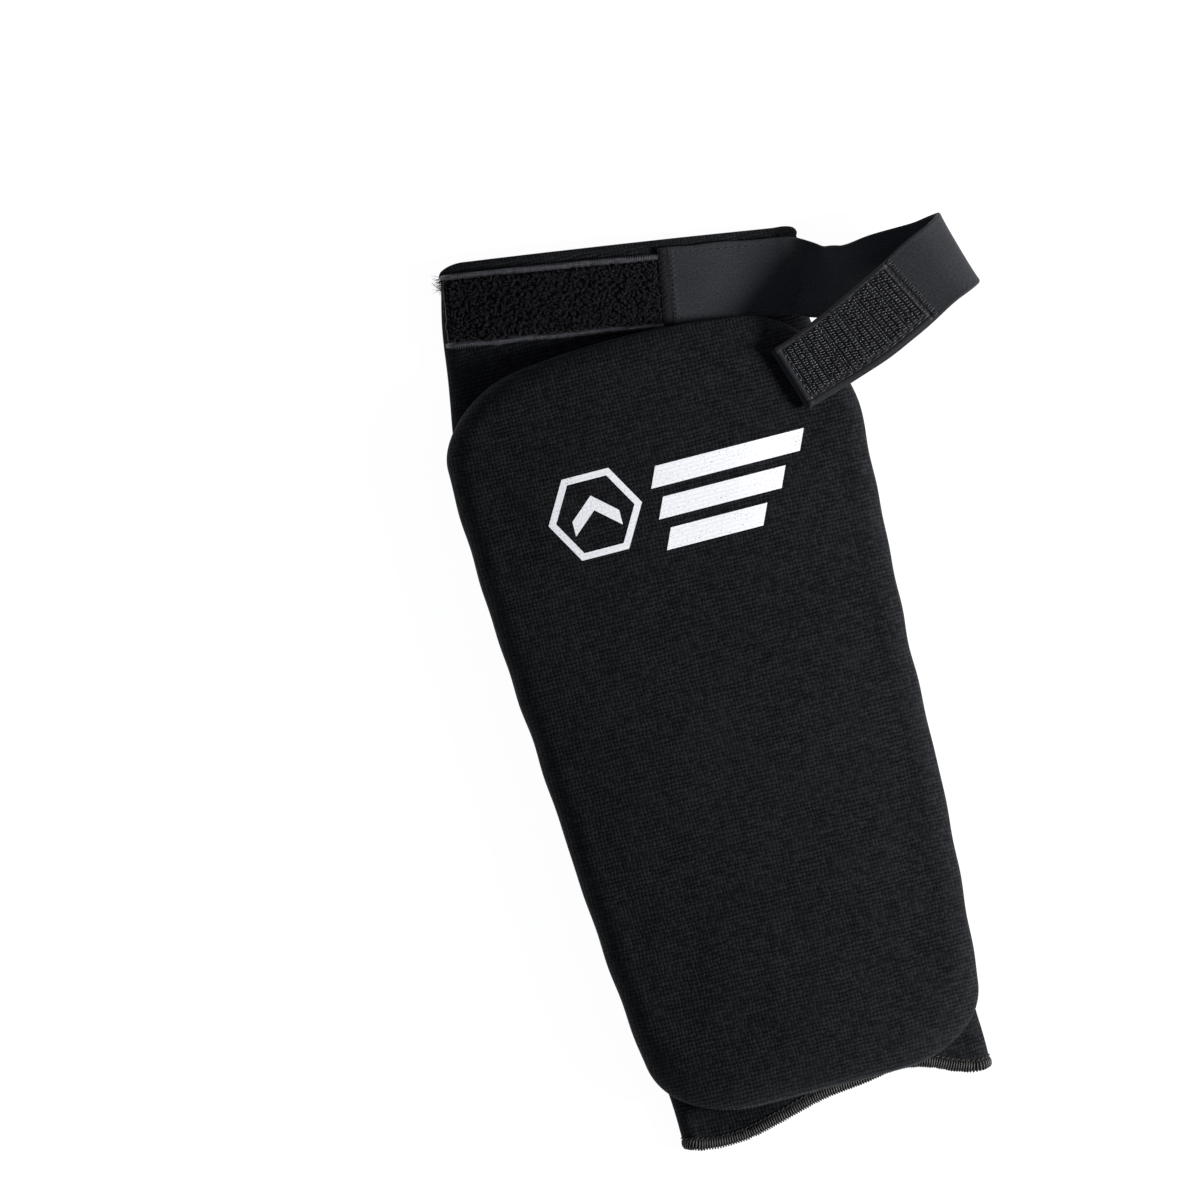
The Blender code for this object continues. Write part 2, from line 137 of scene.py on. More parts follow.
class Graph:
    """The node tree of one material and its Principled shader."""

    def __init__(self, name: str) -> None:
        """Makes the material.

        Args:
            name: the material's name.
        """
        self.material = bpy.data.materials.new(name)
        self.material.use_nodes = True
        self.tree = self.material.node_tree
        self.shader = self.tree.nodes["Principled BSDF"]

    def feed(self, socket: bpy.types.NodeSocket, value: "Wire | float | Sequence[float]") -> None:
        """Links a wire to a socket, or sets the socket's own value."""
        if isinstance(value, Wire):
            self.tree.links.new(value.socket, socket)
        elif isinstance(value, (tuple, list)) and len(socket.default_value) == 4:
            socket.default_value = (*value[:3], 1.0)
        else:
            socket.default_value = value

    def node(self, kind: str, settings: dict, sockets: "dict | list", out: "int | str" = 0) -> Wire:
        """Adds a node of any kind.

        Args:
            kind: the node's type.
            settings: its own settings, set first.
            sockets: values or wires by socket name or number, or in order.
            out: which output to return.

        Returns:
            The output as a wire.
        """
        made = self.tree.nodes.new(kind)
        for key, value in settings.items():
            setattr(made, key, value)
        pairs = sockets.items() if isinstance(sockets, dict) else enumerate(sockets)
        for key, value in pairs:
            self.feed(made.inputs[key], value)
        return Wire(self, made.outputs[out])

    def cloth(self) -> Wire:
        """Place on the flat cloth, in millimetres."""
        return self.node("ShaderNodeAttribute", {"attribute_name": "cloth"}, {}, "Vector")

    def split(self, vector: Wire) -> tuple[Wire, Wire]:
        """The first two parts of a vector."""
        first = self.node("ShaderNodeSeparateXYZ", {}, [vector], 0)
        return first, Wire(self, first.socket.node.outputs[1])

    def stretched(self, vector: Wire, across: float, along: float) -> Wire:
        """A vector with its parts scaled, for streaky noise."""
        settings = {"operation": "MULTIPLY"}
        return self.node("ShaderNodeVectorMath", settings, [vector, (across, along, 1.0)])

    def noise(self, vector: Wire, scale: float, detail: float = 2.0) -> Wire:
        """Soft noise about one half; scale is in features per unit of the vector."""
        sockets = {"Vector": vector, "Scale": scale, "Detail": detail}
        return self.node("ShaderNodeTexNoise", {}, sockets)

    def grains(self, across: Wire, along: Wire) -> Wire:
        """A random value for each whole cell of two numbers."""
        cell = self.node("ShaderNodeCombineXYZ", {}, [across.maths("FLOOR"), along.maths("FLOOR")])
        return self.node("ShaderNodeTexWhiteNoise", {"noise_dimensions": "2D"}, {"Vector": cell})

    def mixed(self, share: "Wire | float", first: object, second: object) -> Wire:
        """A colour between two colours."""
        sockets = {0: share, 6: first, 7: second}
        return self.node("ShaderNodeMix", {"data_type": "RGBA"}, sockets, 2)

    def relief(self, height: Wire, depth: float, strength: float = 1.0) -> None:
        """Gives the surface a fine relief.

        Args:
            height: height from 0 to 1.
            depth: what 1 stands for, in millimetres.
            strength: how much of it shows.
        """
        sockets = {"Strength": strength, "Distance": depth * MM, "Height": height}
        bump = self.node("ShaderNodeBump", {}, sockets)
        self.feed(self.shader.inputs["Normal"], bump)

    def finish(self, colour: Wire, roughness: "Wire | float", **constants: float) -> bpy.types.Material:
        """Sets what the shader shows.

        Args:
            colour: base colour.
            roughness: roughness.
            constants: other sockets of the shader by name, with _ for a space.

        Returns:
            The material.
        """
        self.feed(self.shader.inputs["Base Color"], colour)
        self.feed(self.shader.inputs["Roughness"], roughness)
        for name, value in constants.items():
            self.feed(self.shader.inputs[name.replace("_", " ")], value)
        return self.material


# ---------------------------------------------------------------- finishes


@dataclass(frozen=True)
class KnitFinish:
    """Matt elastic knit: rows of stitches across, wales along, and a little fluff."""

    name: str = "black_knit"
    low: tuple[float, float, float] = (0.0010, 0.0011, 0.0016)
    high: tuple[float, float, float] = (0.0152, 0.0160, 0.0178)
    course: float = 1.33
    wale: float = 1.24
    depth: float = 0.34
    sheen_tint: tuple[float, float, float] = (0.75, 0.8, 0.9)

    def material(self) -> bpy.types.Material:
        """The material."""
        g = Graph(self.name)
        cloth = g.cloth()
        across, along = g.split(cloth)
        drift = g.noise(cloth, 0.035) - 0.5
        sway = g.noise(cloth, 0.06, 1.0) - 0.5
        jitter = g.noise(cloth, 0.42, 1.0) - 0.5
        tremble = g.noise(g.stretched(cloth, 1.0, 1.3), 0.37, 1.0) - 0.5
        wales = across / self.wale + sway * 1.6 + jitter * 1.05
        courses = along / self.course + drift * 1.7 + tremble * 0.85
        rows = courses.wave()
        ribs = wales.wave()
        holes = (1.0 - rows) * (1.0 - ribs)
        stitch = g.grains(wales + 0.25, courses + 0.25) - 0.5
        streak = g.noise(g.stretched(cloth, 0.13, 0.85), 1.0, 3.0) - 0.5
        cloud = g.noise(cloth, 0.018, 3.0) - 0.5
        patch = g.noise(cloth, 0.11, 2.0) - 0.5
        fluff = g.noise(cloth, 1.7, 2.0) - 0.5
        weave = (patch * 2.4 + 0.8).kept()
        height = (rows * 0.45 + ribs * 0.35 + fluff * 0.4 + 0.1).kept()
        threads = (rows - 0.5) * 0.40 + (ribs - 0.5) * 0.07 - (holes - 0.25) * 0.42
        share = 0.43 + threads * weave + stitch * 0.46 + streak * 0.75 + cloud * 0.3 + fluff * 0.62
        lint = (g.noise(cloth, 0.55, 0.0) > 0.795) * 0.5
        g.relief(height, self.depth, 0.8)
        colour = g.mixed((share + lint).kept(), self.low, self.high)
        sheen = {"Sheen_Weight": 0.05, "Sheen_Roughness": 0.45, "Sheen_Tint": self.sheen_tint}
        return g.finish(colour, 0.92, Specular_IOR_Level=0.10, **sheen)


@dataclass(frozen=True)
class WebbingFinish:
    """Smooth elastic webbing: fine ribs along it, a fine grain across and tighter edges."""

    name: str = "elastic_webbing"
    low: tuple[float, float, float] = (0.0080, 0.0084, 0.0104)
    high: tuple[float, float, float] = (0.0300, 0.0308, 0.0348)
    rib: float = 0.62
    pick: float = 0.42
    depth: float = 0.10
    sheen_tint: tuple[float, float, float] = (0.8, 0.85, 0.95)

    def material(self) -> bpy.types.Material:
        """The material."""
        g = Graph(self.name)
        cloth = g.cloth()
        along, across = g.split(cloth)
        ribs = (across / self.rib).wave()
        picks = (along / self.pick + across * 0.35).wave()
        grain = g.noise(cloth, 1.4, 3.0)
        streak = g.noise(g.stretched(cloth, 0.05, 1.6), 1.0, 2.0)
        cloud = g.noise(cloth, 0.06, 2.0)
        threads = ribs * 0.16 + picks * 0.12
        share = threads + (grain - 0.5) * 1.7 + (streak - 0.5) * 0.35 + (cloud - 0.5) * 0.5
        height = (ribs * 0.5 + picks * 0.3 + grain * 0.3).kept()
        g.relief(height, self.depth, 0.8)
        colour = g.mixed((share + 0.35).kept(), self.low, self.high)
        sheen = {"Sheen_Weight": 0.06, "Sheen_Roughness": 0.4, "Sheen_Tint": self.sheen_tint}
        return g.finish(colour, 0.72, Specular_IOR_Level=0.18, **sheen)


@dataclass(frozen=True)
class FibreFinish:
    """Thread, cord, pile or hooks: plain fibre with colour that varies from place to place."""

    name: str
    low: tuple[float, float, float]
    high: tuple[float, float, float]
    roughness: float = 0.55
    shine: float = 0.35
    scale: float = 1.2
    sheen: float = 0.05

    def material(self) -> bpy.types.Material:
        """The material."""
        g = Graph(self.name)
        place = g.node("ShaderNodeTexCoord", {}, {}, "Object")
        speckle = g.noise(place, self.scale / MM, 2.0)
        fine = g.noise(place, 4 * self.scale / MM, 1.0)
        g.relief(fine, 0.06, 0.6)
        colour = g.mixed(((speckle - 0.5) * 2.4 + 0.5).kept(), self.low, self.high)
        rough = (fine - 0.5) * 0.3 + self.roughness
        return g.finish(colour, rough, Specular_IOR_Level=self.shine, Sheen_Weight=self.sheen)


@dataclass(frozen=True)
class InkFinish:
    """White printed ink on knit: the rows show through, with pinholes down to the cloth."""

    name: str = "white_ink"
    ink: tuple[float, float, float] = (0.90, 0.90, 0.91)
    worn: tuple[float, float, float] = (0.30, 0.30, 0.31)
    cloth_colour: tuple[float, float, float] = (0.010, 0.010, 0.012)
    course: float = 1.33

    def material(self) -> bpy.types.Material:
        """The material."""
        g = Graph(self.name)
        cloth = g.cloth()
        across, along = g.split(cloth)
        rows = (along / self.course + (g.noise(cloth, 0.035) - 0.5) * 1.5).wave()
        grain = g.noise(cloth, 2.2, 2.0)
        pinholes = ((grain + rows * 0.10) > 0.735) * 0.8
        wear = ((1.0 - rows) * 0.10 + (grain - 0.45) * 0.35).kept()
        g.relief((rows * 0.6 + grain * 0.4).kept(), 0.12, 0.5)
        colour = g.mixed(pinholes, g.mixed(wear, self.ink, self.worn), self.cloth_colour)
        return g.finish(colour, 0.6, Specular_IOR_Level=0.25)


@dataclass(frozen=True)
class FoamFinish:
    """Closed-cell foam: dark grey, with fine cells."""

    name: str = "pad_foam"
    low: tuple[float, float, float] = (0.03, 0.03, 0.032)
    high: tuple[float, float, float] = (0.07, 0.07, 0.075)

    def material(self) -> bpy.types.Material:
        """The material."""
        g = Graph(self.name)
        place = g.node("ShaderNodeTexCoord", {}, {}, "Object")
        cells = g.node("ShaderNodeTexVoronoi", {}, {"Vector": place, "Scale": 1.4 / MM})
        g.relief(cells, 0.2, 0.5)
        return g.finish(g.mixed(cells.kept(), self.high, self.low), 0.85, Specular_IOR_Level=0.2)


@dataclass(frozen=True)
class FloorFinish:
    """Pale seamless floor that glows a little, so that shadows stay light."""

    name: str = "pale_floor"
    low: tuple[float, float, float] = (0.14, 0.14, 0.14)
    high: tuple[float, float, float] = (0.15, 0.15, 0.15)
    glow: float = 0.96

    def material(self) -> bpy.types.Material:
        """The material."""
        g = Graph(self.name)
        place = g.node("ShaderNodeTexCoord", {}, {}, "Object")
        soft = g.noise(place, 2.0, 1.0)
        tint = g.mixed((soft - 0.5) * 0.1 + 0.5, self.low, self.high)
        g.feed(g.shader.inputs["Emission Color"], (1.0, 1.0, 1.0))
        g.feed(g.shader.inputs["Emission Strength"], self.glow)
        return g.finish(tint, 0.95, Specular_IOR_Level=0.0)


class Finish(Enum):
    """The finishes of the guard."""

    KNIT = KnitFinish()
    WEBBING = WebbingFinish()
    THREAD = FibreFinish("sewing_thread", (0.010, 0.010, 0.011), (0.034, 0.035, 0.038), 0.5, 0.4)
    HEM_THREAD = FibreFinish("overlock_thread", (0.013, 0.013, 0.012), (0.048, 0.047, 0.042), 0.5, 0.4, 0.5)
    SELVAGE = FibreFinish("tape_edge", (0.014, 0.014, 0.018), (0.064, 0.064, 0.073), 0.42, 0.5, 0.9)
    PILE = FibreFinish("loop_pile", (0.0012, 0.0010, 0.0020), (0.0100, 0.0090, 0.0138), 0.65, 0.2, 0.5, 0.1)
    # the loops' black bed, darkened further to paint in the shade between the loops
    PILE_BED_PAINTED_SHADE = FibreFinish(
        "loop_pile_bed_painted_shade", (0.0006, 0.0005, 0.0009), (0.0040, 0.0036, 0.0052), 0.9, 0.05, 0.6, 0.0
    )
    # a darker copy of the webbing: painted shade on the strap's turned start
    TURNED_PAINTED_SHADE = FibreFinish("turned_webbing_painted_shade", (0.0030, 0.0030, 0.0040), (0.0125, 0.0128, 0.0150), 0.8, 0.15, 1.4)
    HOOK = FibreFinish("hook_plastic", (0.016, 0.016, 0.020), (0.085, 0.086, 0.096), 0.34, 0.5, 0.55)
    HOOK_BED = FibreFinish(
        "hook_tape_ground", (0.0045, 0.0045, 0.0058), (0.0190, 0.0192, 0.0224), 0.6, 0.3, 1.4
    )
    INK = InkFinish()
    FOAM = FoamFinish()
    FLOOR = FloorFinish()


class Wardrobe:
    """Makes each finish's material once."""

    def __init__(self) -> None:
        """Starts with none made."""
        self._made: dict[Finish, bpy.types.Material] = {}

    def get(self, finish: Finish) -> bpy.types.Material:
        """The material of a finish."""
        if finish not in self._made:
            self._made[finish] = finish.value.material()
        return self._made[finish]


WARDROBE = Wardrobe()


# ---------------------------------------------------------------- numbers and meshes


def through(stations: Sequence[tuple[float, float]], at: "float | np.ndarray") -> np.ndarray:
    """Reads a smooth curve through (position, value) stations.

    Args:
        stations: the stations, in order.
        at: positions.

    Returns:
        The values there.
    """
    place, value = np.array(stations, float).T
    slope = np.gradient(value, place)
    at = np.clip(np.asarray(at, float), place[0], place[-1])
    i = np.clip(np.searchsorted(place, at) - 1, 0, len(place) - 2)
    span = place[i + 1] - place[i]
    t = (at - place[i]) / span
    start = (2 * t**3 - 3 * t**2 + 1) * value[i] + (t**3 - 2 * t**2 + t) * span * slope[i]
    return start + (3 * t**2 - 2 * t**3) * value[i + 1] + (t**3 - t**2) * span * slope[i + 1]


def smooth(at: np.ndarray, low: float, high: float) -> np.ndarray:
    """0 below low, 1 above high, and smooth between."""
    t = np.clip((np.asarray(at, float) - low) / (high - low), 0, 1)
    return t * t * (3 - 2 * t)


def unit(vectors: np.ndarray) -> np.ndarray:
    """Vectors of length 1."""
    return vectors / np.maximum(np.linalg.norm(vectors, axis=-1, keepdims=True), 1e-12)


def ripple(x: np.ndarray, y: np.ndarray, size: float, seed: int, waves: int = 9) -> np.ndarray:
    """Smooth random ripples of about one unit.

    Args:
        x: places across.
        y: places along.
        size: typical length of a ripple.
        seed: which ripples.
        waves: how many plane waves make them up.

    Returns:
        The height at each place.
    """
    rng = np.random.default_rng(seed)
    total = np.zeros(np.broadcast(x, y).shape)
    for _ in range(waves):
        heading, phase = rng.uniform(0, TURN, 2)
        pace = TURN / (size * rng.uniform(0.7, 1.6))
        total += np.sin((x * math.cos(heading) + y * math.sin(heading)) * pace + phase)
    return total / math.sqrt(waves)


def even_steps(path: np.ndarray, count: int, closed: bool = False) -> np.ndarray:
    """A path's points spaced evenly along it."""
    if closed:
        path = np.vstack([path, path[:1]])
    along = np.concatenate([[0], np.cumsum(np.linalg.norm(np.diff(path, axis=0), axis=1))])
    at = np.linspace(0, along[-1], count + closed)[:count]
    return np.stack([np.interp(at, along, path[:, k]) for k in range(path.shape[1])], axis=1)


class Mesh:
    """Points and faces of one piece, collected in millimetres."""

    def __init__(self, name: str) -> None:
        """Starts an empty piece.

        Args:
            name: the piece's name.
        """
        self.name = name
        self.points: list[np.ndarray] = []
        self.flats: list[np.ndarray] = []
        self.faces: list[np.ndarray] = []
        self.count = 0

    def add(self, points: np.ndarray, faces: list[np.ndarray], flat: "np.ndarray | None" = None) -> None:
        """Adds points and the faces between them.

        Args:
            points: points, one a row.
            faces: arrays of faces, numbered within these points.
            flat: place of each point on the flat cloth; across and along by default.
        """
        points = points.reshape(-1, 3)
        flat = points[:, :2] if flat is None else flat.reshape(-1, 2)
        self.points.append(points)
        self.flats.append(flat)
        self.faces += [face + self.count for face in faces]
        self.count += len(points)

    def grid(self, points: np.ndarray, flat: np.ndarray, wrap: bool = False, flip: bool = False) -> None:
        """Adds a surface through a grid of points; wrap joins its last row to its first."""
        rows, columns = points.shape[:2]
        self.add(points, [grid_faces(rows, columns, wrap, flip)], flat)

    def shell(self, middle: np.ndarray, flat: np.ndarray, thickness: "float | np.ndarray") -> None:
        """Adds a cloth: two surfaces about a middle one, and the rims between them.

        Args:
            middle: grid of points of the middle surface.
            flat: their places on the flat cloth.
            thickness: thickness, or one for each point.
        """
        rows, columns = middle.shape[:2]
        normal = unit(np.cross(np.gradient(middle, axis=1), np.gradient(middle, axis=0)))
        half = normal * np.asarray(thickness)[..., None] / 2
        both = np.concatenate([(middle + half).reshape(-1, 3), (middle - half).reshape(-1, 3)])
        places = np.concatenate([flat.reshape(-1, 2)] * 2)
        upper = np.arange(rows * columns).reshape(rows, columns)
        lower = upper + rows * columns
        faces = [grid_faces(rows, columns), grid_faces(rows, columns, flip=True) + rows * columns]
        for side, turned in (((slice(None), 0), False), ((slice(None), -1), True), (0, True), (-1, False)):
            a, b = upper[side], lower[side]
            rim = np.stack([a[:-1], a[1:], b[1:], b[:-1]], axis=1)
            faces.append(rim[:, ::-1] if turned else rim)
        self.add(both, faces, places)

    def tubes(
        self, paths: np.ndarray, radius: "float | np.ndarray", hints: np.ndarray, sides: int = 6
    ) -> None:
        """Adds round threads along several paths of equally many points, their ends closed.

        Args:
            paths: threads by points by three.
            radius: radius, or one for each point along a thread.
            hints: for each thread, a direction that it is never parallel to.
            sides: sides of a thread.
        """
        count, steps = paths.shape[:2]
        ahead = unit(np.gradient(paths, axis=1))
        hints = np.broadcast_to(hints[:, None, :] if hints.ndim == 2 else hints, paths.shape)
        side = unit(hints - (hints * ahead).sum(-1, keepdims=True) * ahead)
        up = np.cross(ahead, side)
        angle = np.linspace(0, TURN, sides, endpoint=False)
        size = np.broadcast_to(np.asarray(radius, float), (steps,))[None, :, None, None]
        ring = side[:, :, None] * np.cos(angle)[:, None] + up[:, :, None] * np.sin(angle)[:, None]
        points = paths[:, :, None] + ring * size
        number = np.arange(count * steps * sides).reshape(count, steps, sides)
        after = np.roll(number, -1, axis=2)
        walls = np.stack([number[:, :-1], after[:, :-1], after[:, 1:], number[:, 1:]], axis=-1)
        ends = [number[:, 0, ::-1], number[:, -1]]
        self.add(points, [walls.reshape(-1, 4), *ends])

    def make(self, finish: Finish, sharp: float = 50.0) -> bpy.types.Object:
        """Makes the object.

        Args:
            finish: its finish.
            sharp: edges above this angle stay sharp, in degrees.

        Returns:
            The new object, in the scene.
        """
        data = bpy.data.meshes.new(self.name)
        points = (np.concatenate(self.points) * MM).astype(np.float32)
        corners = np.concatenate([face.ravel() for face in self.faces]).astype(np.int32)
        sizes = np.concatenate([np.full(len(face), face.shape[1]) for face in self.faces])
        data.vertices.add(len(points))
        data.vertices.foreach_set("co", points.ravel())
        data.loops.add(len(corners))
        data.loops.foreach_set("vertex_index", corners)
        data.polygons.add(len(sizes))
        data.polygons.foreach_set("loop_start", np.concatenate([[0], np.cumsum(sizes)[:-1]]).astype(np.int32))
        data.update(calc_edges=True)
        flat = np.zeros((len(points), 3), np.float32)
        flat[:, :2] = np.concatenate(self.flats)
        data.attributes.new("cloth", "FLOAT_VECTOR", "POINT").data.foreach_set("vector", flat.ravel())
        data.shade_smooth()
        data.set_sharp_from_angle(angle=math.radians(sharp))
        data.materials.append(WARDROBE.get(finish))
        made = bpy.data.objects.new(self.name, data)
        bpy.context.scene.collection.objects.link(made)
        LOG.info("%s: %d points", self.name, len(points))
        return made


def grid_faces(rows: int, columns: int, wrap: bool = False, flip: bool = False) -> np.ndarray:
    """Quads of a grid of points numbered row by row.

    Args:
        rows: rows of points.
        columns: columns of points.
        wrap: whether the last row joins the first.
        flip: whether the faces look the other way.

    Returns:
        One face a row.
    """
    number = np.arange(rows * columns).reshape(rows, columns)
    below = np.roll(number, -1, axis=0) if wrap else number[1:]
    above = number if wrap else number[:-1]
    quads = np.stack([above[:, :-1], above[:, 1:], below[:, 1:], below[:, :-1]], axis=-1).reshape(-1, 4)
    return quads[:, ::-1] if flip else quads


# ---------------------------------------------------------------- the guard's shared form


@dataclass(frozen=True)
class SleeveForm:
    """The flattened tube of the sleeve, on which everything else is sewn."""

    knit: float = 1.4
    join_z: float = 4.0
    shoulder_z: float = 8.5
    flat_reach: float = 0.89
    turn_from: float = 0.8
    elbow_y: float = 147.4
    elbow_slant: float = -7.526
    elbow_bow: float = 2.2
    hem_roll: float = 3.4
    hem_middle: float = 2.0
    hem_half: float = 52.5
    left: tuple = (
        (-149, -50.5), (-127, -51.5), (-100, -57.5), (-50, -61.5),
        (30, -66.5), (95, -67), (113, -64), (157, -56.5),
    )
    right: tuple = (
        (-149, 54.5), (-122, 54.5), (-95, 58), (-50, 60.5), (30, 63),
        (80, 64), (105, 58.8), (114, 58.2), (123, 59.3), (140, 61.3),
    )
    crowns: tuple = ((-150, 14.5), (-60, 13.0), (70, 13.0), (158, 15.5))
    hem_edge: tuple = (
        (-52, -148.6), (-46, -150.4), (-32, -151.0), (-20, -148.4), (-3, -143.9), (12, -142.0), (28, -140.6),
        (37, -143.0), (45, -146.6), (51, -148.2), (56, -147.4),
    )

    def edges(self, y: np.ndarray) -> tuple[np.ndarray, np.ndarray]:
        """Left and right edge of the sleeve at a place along it."""
        return through(self.left, y), through(self.right, y)

    def across(self, x: np.ndarray, y: np.ndarray) -> np.ndarray:
        """Place across the sleeve, from -1 at its left edge to 1 at its right."""
        left, right = self.edges(y)
        return (2 * x - left - right) / (right - left)

    def top(self, x: np.ndarray, y: np.ndarray) -> np.ndarray:
        """Height of the front panel's cloth, away from its turned-down sides."""
        crown = through(self.crowns, y)
        return crown - (crown - self.shoulder_z) * (self.across(x, y) / self.flat_reach) ** 2

    def turned(self, u: np.ndarray) -> np.ndarray:
        """How far the cloth has turned towards the other panel, from 0 to 1."""
        return np.clip((np.abs(u) - self.turn_from) / (1 - self.turn_from), 0, 1)

    def reach(self, u: np.ndarray) -> np.ndarray:
        """How far out across the sleeve the cloth has come, from -1 to 1."""
        level = self.flat_reach * np.clip(u / self.turn_from, -1, 1)
        return level + np.sign(u) * (1 - self.flat_reach) * np.sin(self.turned(u) * math.pi / 2)

    def row(self, v: np.ndarray, u: np.ndarray) -> np.ndarray:
        """Place along the sleeve, for v from 0 at the wrist hem to 1 at the elbow."""
        low = through(self.hem_edge, self.hem_middle + self.hem_half * self.reach(u)) + self.hem_roll
        high = self.elbow_y + self.elbow_slant * np.clip(u / self.turn_from, -1, 1)
        high = high - self.elbow_bow * self.turned(u) ** 2
        return low + v * (high - low)

    def panel(self, u: np.ndarray, v: np.ndarray, front: bool) -> tuple[np.ndarray, np.ndarray]:
        """Points on the middle of a panel's cloth.

        Args:
            u: place across, from -1 to 1; past 0.8 the cloth turns to meet the other panel.
            v: place along, from 0 at the wrist to 1 at the elbow.
            front: the front panel, or else the back one.

        Returns:
            The points, and their places on the flat cloth.
        """
        y = self.row(v, u)
        left, right = self.edges(y)
        middle, half = (left + right) / 2, (right - left) / 2
        turn = self.turned(u)
        x = middle + half * self.reach(u)
        inside = np.clip(x, middle - half * self.flat_reach, middle + half * self.flat_reach)
        level = self.top(inside, y) if front else np.full_like(x, self.knit / 2)
        join = self.join_z + (0.07 if front else -0.07)
        z = level + (join - level) * (1 - np.cos(turn * math.pi / 2))
        travel = np.sign(u) * turn * np.abs(level - join) * 0.8
        return np.stack([x, y, z], axis=-1), np.stack([x + travel, y], axis=-1)


@dataclass(frozen=True)
class BandForm:
    """The straight band across the elbow end: loop tape first, then the sewn strap."""

    sleeve: SleeveForm = SleeveForm()
    y_at_zero: float = 134.2
    slope: float = -0.1617

    def point(self, x: np.ndarray, offset: np.ndarray, lift: "float | np.ndarray") -> np.ndarray:
        """Points of the band.

        Args:
            x: place along it.
            offset: place across it, from its middle.
            lift: height over the front panel's surface.

        Returns:
            The points.
        """
        lean = math.atan(self.slope)
        px = x - math.sin(lean) * offset
        py = self.y_at_zero + self.slope * x + math.cos(lean) * offset
        across = np.abs(self.sleeve.across(px, py))
        crown = through(self.sleeve.crowns, py)
        flat = np.minimum(across / self.sleeve.flat_reach, 1)
        pz = crown - (crown - self.sleeve.shoulder_z) * flat**2 + 0.75 + lift
        past = np.clip((across - self.sleeve.flat_reach) / (1 - self.sleeve.flat_reach), 0, 0.97)
        pz -= (self.sleeve.shoulder_z - self.sleeve.join_z) * (1 - np.sqrt(1 - past**2))
        return np.stack(np.broadcast_arrays(px, py, pz), axis=-1)


# ---------------------------------------------------------------- stitches


@dataclass(frozen=True)
class StitchRow:
    """A row of single stitches, each a short arched thread."""

    length: float = 1.7
    gap: float = 0.75
    radius: float = 0.23
    rise: float = 0.20

    def sew(self, mesh: Mesh, path: np.ndarray, normals: np.ndarray, sideways: float = 0.0) -> None:
        """Sews a row along a path.

        Args:
            mesh: what the stitches are added to.
            path: points on the cloth's surface.
            normals: outward directions at those points.
            sideways: how far each stitch slants to the side over its length.
        """
        along = np.concatenate([[0], np.cumsum(np.linalg.norm(np.diff(path, axis=0), axis=1))])
        starts = np.arange(0, along[-1] - self.length, self.length + self.gap)
        t = np.linspace(0, 1, 6)
        at = starts[:, None] + t * self.length
        points = np.stack([np.interp(at, along, path[:, k]) for k in range(3)], axis=-1)
        normal = unit(np.stack([np.interp(at, along, normals[:, k]) for k in range(3)], axis=-1))
        arch = np.sin(t * math.pi) ** 0.7 * self.rise - 0.05
        side = unit(np.cross(normal, np.gradient(points, axis=1)))
        points = points + normal * arch[:, None] + side * ((t - 0.5) * sideways)[:, None]
        swell = self.radius * (0.55 + 0.45 * np.sin(t * math.pi))
        mesh.tubes(points, swell, normal, 6)


# ---------------------------------------------------------------- sleeve


